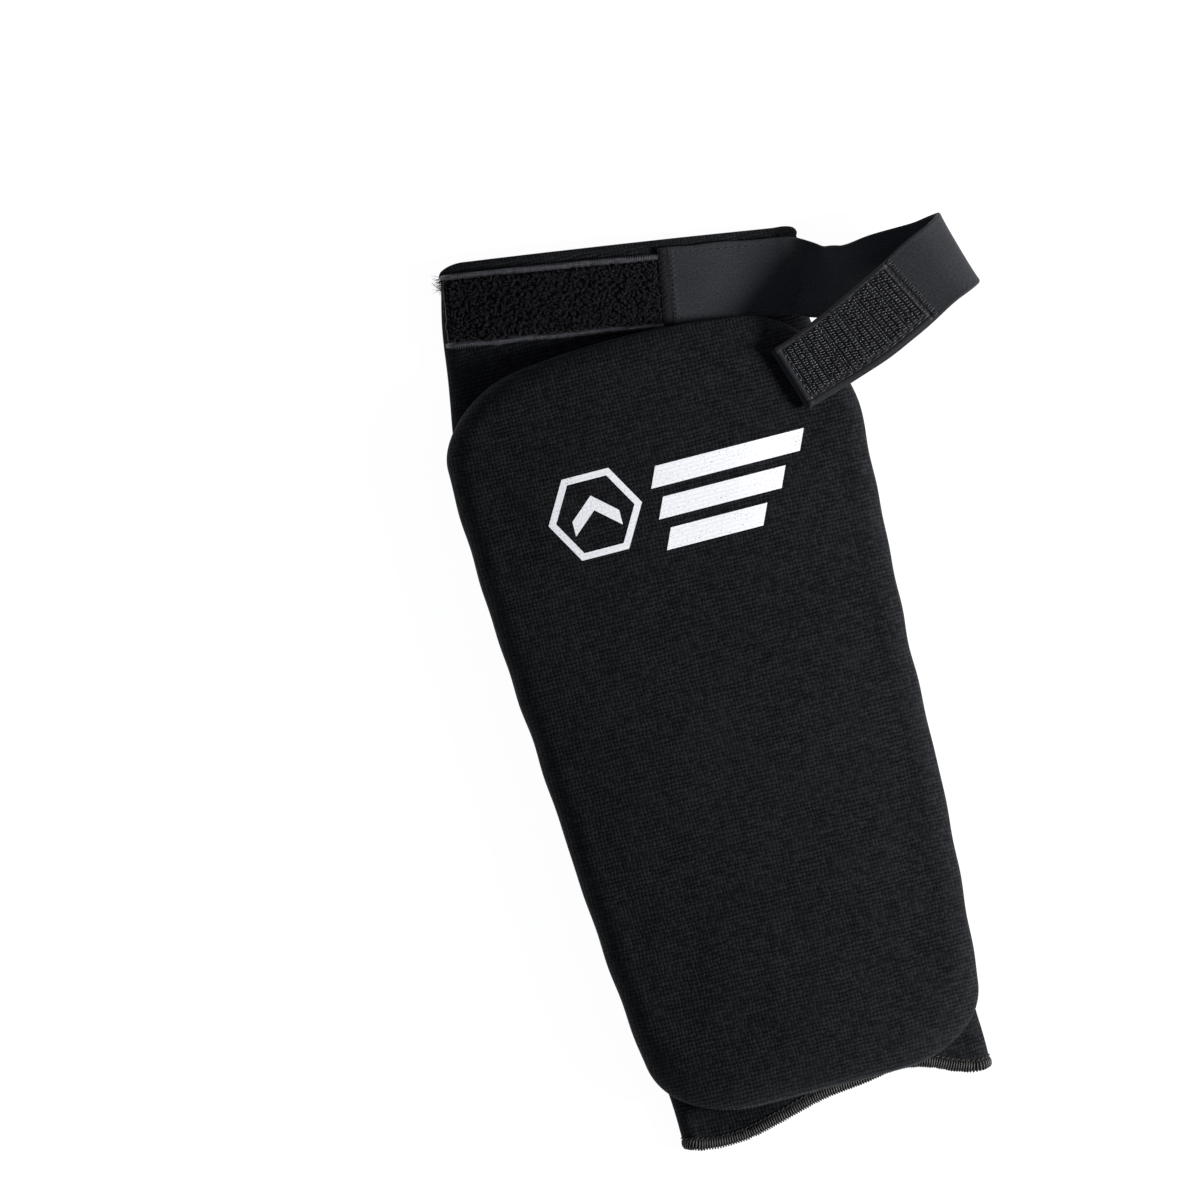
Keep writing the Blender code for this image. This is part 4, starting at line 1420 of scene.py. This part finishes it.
@dataclass(frozen=True)
class StrapRoute:
    """Where the elastic strap runs: over the band, off the sleeve, round its fold and back to its tab."""

    band: BandForm = BandForm()
    start_x: float = 16.4
    leave_x: float = 60.3
    leave_z: float = 9.0
    leave_heading: float = -9.0
    sewn_lift: float = 1.35
    free_from: float = 52.5
    free_to: float = 65.0
    fold_heading: float = 106.0
    fold_radius: float = 10.5
    fold_centre: tuple[float, float, float] = (101.6, 116.9, 21.5)
    fold_lean: float = 7.5
    tab_end: tuple[float, float, float] = (47.0, 91.2, 28.2)
    back_heading: float = 207.5
    tab_heading: float = 197.0
    sewn_across: float = 80.8
    reach_across: float = 98.0
    tab_across: float = 113.5
    twist: float = -27.0
    dip: float = 3.1
    hump: float = 5.4
    sag: float = 0.3
    step: float = 0.8

    def fold(self, degrees: float) -> np.ndarray:
        """A point of the fold, from -90 where it starts to turn up to 90 where it has turned back."""
        angle = math.radians(degrees)
        line = self.heading(self.fold_heading)
        outwards = self.heading(self.fold_heading - 90)
        pitch = -self.fold_radius * math.tan(math.radians(self.fold_lean))
        turn = outwards * math.cos(angle) + UP * math.sin(angle)
        return np.array(self.fold_centre) + self.fold_radius * turn + line * pitch * angle

    @staticmethod
    def heading(degrees: float, climb: float = 0.0) -> np.ndarray:
        """A level direction, with a climb."""
        return np.array([math.cos(math.radians(degrees)), math.sin(math.radians(degrees)), climb])

    @staticmethod
    def sweep(
        start: np.ndarray, end: np.ndarray, first: np.ndarray, last: np.ndarray, count: int
    ) -> np.ndarray:
        """A smooth course between two points.

        Args:
            start: where it starts.
            end: where it ends.
            first: the direction that it leaves along, the longer the straighter.
            last: the direction that it arrives along.
            count: how many points it has.

        Returns:
            Its points.
        """
        t = np.linspace(0, 1, count)[:, None]
        near = start * (2 * t**3 - 3 * t**2 + 1) + first * (t**3 - 2 * t**2 + t)
        return near + end * (3 * t**2 - 2 * t**3) + last * (t**3 - t**2)

    def centre_line(self) -> np.ndarray:
        """The strap's middle from its sewn start to its tab's end, at even steps."""
        x = np.linspace(self.start_x, self.leave_x - 1.5, 60)
        sewn = self.band.point(x, np.zeros_like(x), self.sewn_lift)
        edge = np.array([self.leave_x, self.band.y_at_zero + self.band.slope * self.leave_x, self.leave_z])
        climb = self.heading(self.fold_heading - 90) * 0.88 + UP * 0.47
        out = self.sweep(edge, self.fold(-62), self.heading(self.leave_heading, -0.12) * 40, climb * 34, 44)
        out[:, 1] -= self.dip * smooth(out[:, 0], 54.5, 65.0) * (1 - smooth(out[:, 0], 72, 98))
        out[:, 2] += self.hump * smooth(out[:, 0], 60, 73) * (1 - smooth(out[:, 0], 80, 101))
        turn = np.array([self.fold(a) for a in np.linspace(-58, 86, 36)])
        tab = np.array(self.tab_end)
        first, last = self.heading(self.back_heading, 0.05), self.heading(self.tab_heading, -0.08)
        back = self.sweep(self.fold(90), tab, first * 60, last * 60, 60)
        t = np.linspace(0, math.pi, 60)
        back -= self.heading(self.tab_across) * (self.sag * np.sin(t) ** 2)[:, None]
        line = np.concatenate([sewn, out, turn, back])
        total = np.linalg.norm(np.diff(line, axis=0), axis=1).sum()
        line = even_steps(line, int(total / self.step))
        for _ in range(8):
            line[1:-1] = (line[:-2] + 2 * line[1:-1] + line[2:]) / 4
        return line


class StrapCloth:
    """The strap's surface: points by length along it and place across it."""

    def __init__(self, route: StrapRoute) -> None:
        """Works out the frame along the strap.

        Args:
            route: where the strap runs.
        """
        self.route = route
        self.line = route.centre_line()
        self.along = np.concatenate([[0], np.cumsum(np.linalg.norm(np.diff(self.line, axis=0), axis=1))])
        self.length = float(self.along[-1])
        x, z = self.line[:, 0], self.line[:, 2]
        upper = self.along > self.at_fold(0)
        out = smooth(x, route.leave_x, route.leave_x + 40)
        rise = np.clip((z - 11) / (2 * route.fold_radius), 0, 1)
        turning = route.reach_across + (route.tab_across - route.reach_across) * rise
        leaving = route.sewn_across + (route.reach_across - route.sewn_across) * out
        degrees = np.where(upper | (rise > 0.15), turning, leaving)
        degrees = np.where(upper & (rise > 0.9), route.tab_across, degrees)
        for _ in range(60):
            degrees[1:-1] = (degrees[:-2] + degrees[1:-1] + degrees[2:]) / 3
        tilt = np.radians(route.twist) * smooth(x, 51, 66) * (1 - smooth(x, 70, 96)) * ~upper
        hint = np.stack([np.cos(np.radians(degrees)), np.sin(np.radians(degrees)), np.tan(tilt)], axis=1)
        self.ahead = unit(np.gradient(self.line, axis=0))
        self.across = unit(hint - (hint * self.ahead).sum(-1, keepdims=True) * self.ahead)
        self.normal = np.cross(self.ahead, self.across)

    def at_fold(self, degrees: float) -> float:
        """Length along the strap at a place of its fold."""
        gap = np.linalg.norm(self.line - self.route.fold(degrees), axis=1)
        return float(self.along[int(gap.argmin())])

    def at_x(self, x: float) -> float:
        """Length along the strap where its outward run passes a place."""
        run = self.along < self.at_fold(-90)
        return float(np.interp(x, self.line[run, 0], self.along[run]))

    def frame(self, s: np.ndarray) -> list[np.ndarray]:
        """Middle point, direction ahead, direction across and normal at lengths along the strap."""
        rows = (self.line, self.ahead, self.across, self.normal)
        return [np.stack([np.interp(s, self.along, row[:, k]) for k in range(3)], axis=-1) for row in rows]

    def share_of_width(self, s: np.ndarray) -> np.ndarray:
        """How wide the strap is, as a share of its full width: its tab narrows towards the end."""
        return 1 - 0.11 * smooth(s, self.length - 36, self.length - 4)

    def point(self, s: np.ndarray, offset: np.ndarray, lift: "float | np.ndarray" = 0.0) -> np.ndarray:
        """Points of the strap.

        Args:
            s: length along it.
            offset: place across it.
            lift: height over its middle surface, on the side that faces up where it is sewn.

        Returns:
            The points.
        """
        route = self.route
        middle, _, across, normal = self.frame(s)
        offset = offset * self.share_of_width(s)
        lift = np.asarray(lift)[..., None]
        free = middle + across * offset[..., None] + normal * lift
        sewn = route.band.point(middle[..., 0], offset, route.sewn_lift + lift[..., 0])
        share = smooth(s, self.at_x(route.free_from), self.at_x(route.free_to))[..., None]
        return sewn * (1 - share) + free * share


@dataclass
class Strap:
    """The elastic strap, its stitches, and the hook tape on its tab."""

    cloth: StrapCloth
    width: float = 26.0
    thickness: float = 1.25
    hook_length: float = 49.5
    hook_low: float = -12.1
    hook_high: float = 12.6
    hook_pitch: float = 1.08
    hook_spacing: float = 1.0
    band_rows: int = 6
    turned: float = 17.0
    bend_from: float = 57.0
    bend_to: float = 71.0
    join_x: float = 84.0
    unroll: float = 5.0

    def strip(self, mesh: Mesh, start: float, end: float) -> None:
        """Adds the webbing between two lengths along the strap."""
        s = np.linspace(start, end, max(int((end - start) / 0.8), 2))
        edge = self.width / 2
        crowding = math.radians(86.4)
        offset = edge * np.sin(np.linspace(-crowding, crowding, 41)) / math.sin(crowding)
        s, offset = np.meshgrid(s, offset, indexing="ij")
        rim = np.abs(offset) / edge
        thickness = self.thickness * (1 - 0.35 * smooth(rim, 0.965, 1.0))
        thickness = thickness + 0.16 * np.exp(-(((rim - 0.93) / 0.03) ** 2))
        waver = ripple(s, s * 0, 19, 51) * 0.10
        points = self.cloth.point(s, offset + waver, ripple(s, offset, 24, 53) * 0.12)
        mesh.shell(points, np.stack([s, offset], axis=-1), thickness)

    def lower(self) -> None:
        """From the sewn start to the middle of the outward run."""
        mesh = Mesh("strap_sewn_and_reach")
        self.strip(mesh, 0.0, self.cloth.at_x(self.join_x))
        piece = mesh.make(Finish.WEBBING)
        turn_start = self.cloth.frame(np.array(self.cloth.at_x(self.bend_from)))[0]
        turn_end = self.cloth.frame(np.array(self.cloth.at_x(self.bend_to)))[0]
        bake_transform(piece)
        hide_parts("strap_anchor", "strap_reach_webbing")

    def turn(self) -> None:
        """From the middle of the outward run to the tip of the fold."""
        mesh = Mesh("strap_fold_lower")
        self.strip(mesh, self.cloth.at_x(self.join_x), self.cloth.at_fold(0))
        piece = mesh.make(Finish.WEBBING)
        route = self.cloth.route
        turn_start = route.fold(-84) + self.unroll * unit(route.fold(-90) - route.fold(-84))
        turn_end = route.fold(-3)
        tuple(turn_start * MM)
        tuple(turn_end * MM)
        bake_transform(piece)
        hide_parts("strap_loop_webbing")

    def upper(self) -> None:
        """From the tip of the fold to the tab's end, which is turned in under itself."""
        mesh = Mesh("strap_fold_and_tab")
        self.strip(mesh, self.cloth.at_fold(0), self.cloth.length - 0.5)
        self.turned_end(mesh)
        piece = mesh.make(Finish.WEBBING)
        route = self.cloth.route
        turn_start = route.fold(3)
        turn_end = route.fold(84) + self.unroll * unit(route.fold(90) - route.fold(84))
        tuple(turn_start * MM)
        tuple(turn_end * MM)
        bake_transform(piece)
        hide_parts("strap_return_webbing", "strap_end_turned_under")

    def turned_end(self, mesh: Mesh) -> None:
        """The last stretch of webbing, rolled under the tab."""
        last = self.cloth.length
        angle = np.linspace(0, math.pi, 9)
        roll_s = last - 0.5 + np.sin(angle) * 0.9
        roll_lift = 0.85 - 0.85 * np.cos(angle)
        run_s = np.linspace(last - 1.0, last - self.turned, 18)
        s = np.concatenate([roll_s, run_s])
        lift = np.concatenate([roll_lift, np.full(18, 1.7)])
        offset = np.linspace(-self.width / 2 + 0.3, self.width / 2 - 0.3, 25)
        grid_s, grid_o = np.meshgrid(s, offset, indexing="ij")
        grid_o = grid_o * self.cloth.share_of_width(grid_s)
        beyond = np.maximum(grid_s - last, 0)
        middle, ahead, across, normal = self.cloth.frame(np.minimum(grid_s, last))
        points = middle + ahead * beyond[..., None]
        points = points + across * grid_o[..., None] + normal * lift[:, None, None]
        mesh.shell(points, np.stack([grid_s, grid_o], axis=-1), 0.95)

    def turned_start(self) -> None:
        """The strap's end turned under itself and stitched down over the tape's end, in a darker webbing that
        paints in shade.
        """
        band, start = self.cloth.route.band, self.cloth.route.start_x
        first = start - 3.3
        x, offset = np.meshgrid(np.linspace(first, start + 1.2, 24), np.linspace(-12.9, 12.9, 50))
        rim = np.minimum(1, (x - first) / 0.8)
        points = band.point(x, offset, 1.15 + 0.25 * rim + ripple(x, offset, 5, 97) * 0.05)
        mesh = Mesh("strap_turned_start")
        mesh.shell(points, np.stack([x, offset], axis=-1), 0.8)
        # the darker webbing finish paints in the shade on the turned start
        piece = mesh.make(Finish.TURNED_PAINTED_SHADE)
        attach(piece, "guard")
        offset = np.arange(-12.2, 12.2, 0.95)
        t = np.linspace(0, 1, 6)
        slant = np.where(np.arange(len(offset)) % 2, 0.7, -0.7)[:, None]
        zigzag = Mesh("strap_start_zigzag")
        across = offset[:, None] + slant * (t - 0.5)
        x = np.broadcast_to(start - 2.6 + t * 1.7, across.shape)
        zigzag.tubes(band.point(x, across, 1.78 + 0.2 * np.sin(t * math.pi)), 0.2, UP[None], 6)
        sewn = zigzag.make(Finish.PILE)
        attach(sewn, "guard")

    def sewn_rows(self) -> None:
        """Stitches that hold the strap on the sleeve."""
        for side, name in ((1, "upper"), (-1, "lower")):
            s = np.linspace(2.5, self.cloth.at_x(51.5), 120)
            path = self.cloth.point(s, np.full_like(s, side * 10.9), self.thickness / 2 + 0.05)
            mesh = Mesh(f"strap_{name}_stitches")
            StitchRow(1.3, 1.1, 0.17, 0.14).sew(mesh, path, np.tile(UP, (len(path), 1)))
            piece = mesh.make(Finish.THREAD)
            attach(piece, "guard")
            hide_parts(f"strap_{name}_stitching")
        mesh = Mesh("strap_start_bar_tack")
        offset = np.arange(-12.2, 12.2, 0.8)
        t = np.linspace(0, 1, 6)
        across = offset[:, None] + np.where(np.arange(len(offset)) % 2, 0.5, -0.5)[:, None] * t
        s = np.broadcast_to(0.5 + t * 1.5, across.shape)
        points = self.cloth.point(s, across, self.thickness / 2 - 0.04 + 0.2 * np.sin(t * math.pi))
        mesh.tubes(points, 0.17, UP[None], 6)
        piece = mesh.make(Finish.THREAD)
        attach(piece, "guard")
        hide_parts("strap_start_stitching")

    def hook_ground(self, first: float, last: float, lift: float) -> bpy.types.Object:
        """The hook tape's base, with raised borders and a groove at each row of stitches.

        Args:
            first: where it starts along the strap.
            last: where it ends.
            lift: its height over the strap's middle surface.

        Returns:
            The piece.
        """
        low, high = self.hook_low, self.hook_high
        s, offset = np.meshgrid(np.linspace(first, last, 150), np.linspace(low, high, 70), indexing="ij")
        raised = 0.62 * np.exp(-(((high - offset - 0.85) / 0.62) ** 4))
        raised += 0.24 * np.exp(-(((last - s - 0.8) / 0.55) ** 4)) * smooth(high - offset, 0.4, 1.8)
        raised += 0.22 * np.exp(-(((offset - low - 0.7) / 0.5) ** 2))
        raised -= 0.42 * np.exp(-(((s - first - 1.5) / 0.5) ** 2))
        raised -= 0.18 * np.exp(-(((offset - low - 1.9) / 0.35) ** 2))
        mesh = Mesh("hook_tape_weave")
        middle = self.cloth.point(s, offset, lift - raised * 0.5 + ripple(s, offset, 21, 57) * 0.06)
        mesh.shell(middle, np.stack([s * 1.5, offset * 1.5], axis=-1), 0.72 + raised)
        base = mesh.make(Finish.HOOK_BED, 60)
        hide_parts("hook_tape_base")
        return base

    def hook_rows(self, first: float, last: float, lift: float) -> bpy.types.Object:
        """The hooks: rows that lean in turn one way and the other, in bands between weft cords.

        Args:
            first: where the tape starts along the strap.
            last: where it ends.
            lift: the tape's height over the strap's middle surface.

        Returns:
            The piece.
        """
        rng = np.random.default_rng(91)
        rows = np.arange(first + 2.7, last - 2.0, self.hook_pitch)
        cords = np.arange(len(rows)) % (self.band_rows + 1) == self.band_rows
        places = np.arange(self.hook_low + 2.9, self.hook_high - 2.1, self.hook_spacing)
        hooks = Mesh("hook_tape_hooks")
        for at in rows[cords]:
            offset = np.linspace(self.hook_low + 2.6, self.hook_high - 1.9, 90)
            bead = 0.26 * np.abs(np.sin(offset * math.pi / 1.0))
            path = self.cloth.point(np.full_like(offset, at), offset, lift - 0.42 - bead)
            hooks.tubes(path[None], 0.2, self.cloth.frame(np.array([at]))[3], 6)
        number = np.flatnonzero(~cords)
        hs, ho = np.meshgrid(rows[~cords], places, indexing="ij")
        lean = np.where(number % 2, 1.0, -1.0)[:, None] * np.ones_like(ho)
        ho = ho + np.where(number % 2, self.hook_spacing / 2, 0.0)[:, None]
        hs, ho, lean = hs.ravel(), ho.ravel(), lean.ravel()
        count = len(hs)
        hs, ho = hs + rng.normal(0, 0.07, count), ho + rng.normal(0, 0.07, count)
        lean = lean * np.where(rng.random(count) < 0.1, -1, 1)
        size = rng.uniform(0.85, 1.15, count)[:, None]
        run = np.array([-0.30, -0.22, -0.04, 0.20, 0.42, 0.50]) * size * lean[:, None]
        rise = np.array([0.0, 0.45, 0.82, 0.98, 0.82, 0.50]) * 1.1 * size
        slip = np.array([0.0, 0.03, 0.1, 0.2, 0.27, 0.3]) * lean[:, None]
        points = self.cloth.point(hs[:, None] + run, ho[:, None] + slip, lift - 0.35 - rise)
        hooks.tubes(points, 0.19 * np.array([1.2, 1.0, 1.05, 1.1, 1.0, 0.7]), self.cloth.frame(hs)[2], 5)
        field = hooks.make(Finish.HOOK, 80)
        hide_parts("hook_field")
        return field

    def hook_stitches(self, first: float, last: float, lift: float) -> bpy.types.Object:
        """The stitches along the hook tape's borders.

        Args:
            first: where the tape starts along the strap.
            last: where it ends.
            lift: the tape's height over the strap's middle surface.

        Returns:
            The piece.
        """
        low, high = self.hook_low, self.hook_high
        thread = Mesh("hook_tape_stitches")
        lines = (
            ((first + 2.0, low + 1.9), (last - 2.0, low + 1.9), StitchRow(2.7, 0.8, 0.2, 0.2)),
            ((first + 1.8, high - 1.9), (last - 1.6, high - 1.9), StitchRow(1.2, 0.8, 0.17, 0.16)),
            ((last - 1.9, low + 1.6), (last - 1.9, high - 1.8), StitchRow(1.5, 0.8, 0.19, 0.18)),
        )
        for (s0, o0), (s1, o1), row in lines:
            t = np.linspace(0, 1, 90)
            line_s, line_o = s0 + t * (s1 - s0), o0 + t * (o1 - o0)
            path = self.cloth.point(line_s, line_o, lift - 0.42)
            row.sew(thread, path, -self.cloth.frame(line_s)[3])
        sewn = thread.make(Finish.SELVAGE)
        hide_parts("hook_tape_stitching")
        return sewn

    def hook_inner_end(self, first: float, lift: float) -> bpy.types.Object:
        """The row of stitches inside the hook tape's inner end, and the zigzag over its edge.

        Args:
            first: where the tape starts along the strap.
            lift: the tape's height over the strap's middle surface.

        Returns:
            The piece.
        """
        low, high = self.hook_low, self.hook_high
        rng = np.random.default_rng(101)
        thread = Mesh("hook_tape_inner_stitches")
        line_o = np.linspace(high - 2.0, low + 2.0, 90)
        line_s = np.full_like(line_o, first + 1.5)
        path = self.cloth.point(line_s, line_o, lift - 0.42)
        StitchRow(1.1, 0.9, 0.17, 0.1).sew(thread, path, -self.cloth.frame(line_s)[3])
        offset = np.arange(low + 0.5, high - 0.3, 0.95)
        offset = offset + rng.normal(0, 0.10, len(offset))
        t = np.linspace(0, 1, 7)
        slant = np.where(np.arange(len(offset)) % 2, 0.55, -0.25)[:, None]
        across = offset[:, None] + slant * (t - 0.5)
        along = first - 0.75 + t * rng.uniform(1.2, 1.6, len(offset))[:, None]
        height = lift + 0.25 - 0.62 * smooth(t, 0.35, 0.6) - 0.2 * np.sin(t * math.pi)
        normals = self.cloth.frame(np.full(len(offset), first))[3]
        thread.tubes(self.cloth.point(along, across, height), 0.16, normals, 6)
        return thread.make(Finish.THREAD)

    def hook_tape(self) -> None:
        """The hook tape on the strap's tab."""
        last = self.cloth.length - 0.7
        first = last - self.hook_length
        lift = -(self.thickness / 2 + 0.42)
        for piece, slot in (
            (self.hook_ground(first, last, lift), "hook"),
            (self.hook_rows(first, last, lift), "hook"),
            (self.hook_stitches(first, last, lift), "thread"),
            (self.hook_inner_end(first, lift), "thread"),
        ):
            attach(piece, "strap_return")

    def build(self) -> None:
        """Builds the strap."""
        self.lower()
        self.turn()
        self.upper()
        self.turned_start()
        self.sewn_rows()
        self.hook_tape()


# ---------------------------------------------------------------- studio


@dataclass
class Studio:
    """Pale floor, soft light and the camera straight above."""

    target: tuple[float, float, float] = (-32.6, 36.1, 15.0)
    view_width: float = 400.0
    distance: float = 2200.0
    roll: float = 14.48
    sensor: float = 36.0
    sky: float = 0.25
    sky_colour: tuple[float, float, float, float] = (0.90, 0.95, 1.10, 1.0)
    key_power: float = 36.0
    key_heading: float = -18.0
    key_height: float = 29.0
    key_distance: float = 1500.0
    key_size: float = 0.4

    def floor(self) -> None:
        """The floor."""
        bpy.ops.mesh.primitive_plane_add(size=6.0, location=(0, 0, -0.0002))
        floor = bpy.context.object
        floor.name = "studio_floor"
        floor.data.materials.append(WARDROBE.get(Finish.FLOOR))

    def light(self) -> None:
        """Even light from all round and a soft key from the right."""
        world = bpy.data.worlds.new("studio")
        world.use_nodes = True
        background = world.node_tree.nodes["Background"]
        background.inputs["Color"].default_value = self.sky_colour
        background.inputs["Strength"].default_value = self.sky
        bpy.context.scene.world = world
        lamp = bpy.data.lights.new("key", "AREA")
        lamp.shape = "DISK"
        lamp.size = self.key_size
        lamp.energy = self.key_power
        key = bpy.data.objects.new("key", lamp)
        heading, height = math.radians(self.key_heading), math.radians(self.key_height)
        level = math.cos(height)
        away = Vector((math.cos(heading) * level, math.sin(heading) * level, math.sin(height)))
        key.location = Vector(self.target) * MM + away * self.key_distance * MM
        key.rotation_mode = "QUATERNION"
        key.rotation_quaternion = away.to_track_quat("Z", "Y")
        bpy.context.scene.collection.objects.link(key)

    def camera(self) -> None:
        """The camera, straight above and turned a little."""
        data = bpy.data.cameras.new("camera")
        data.sensor_width = self.sensor
        data.lens = self.sensor * self.distance / self.view_width
        data.clip_end = 20.0
        camera = bpy.data.objects.new("camera", data)
        camera.location = (Vector(self.target) + Vector((0, 0, self.distance))) * MM
        camera.rotation_euler = (0, 0, -math.radians(self.roll))
        bpy.context.scene.collection.objects.link(camera)
        bpy.context.scene.camera = camera
        bpy.context.scene.view_settings.view_transform = "Standard"

    def build(self) -> None:
        """Sets the stage."""
        self.floor()
        self.light()
        self.camera()


def main() -> None:
    """Builds the guard and its stage, in order."""
    logging.basicConfig(level=logging.INFO, format="%(name)s: %(message)s")
    Studio().build()
    Sleeve().build()
    cover = Pad().build()
    Print().build(cover)
    LoopTape().build()
    Strap(StrapCloth(StrapRoute())).build()


if __name__ == "__main__":
    main()
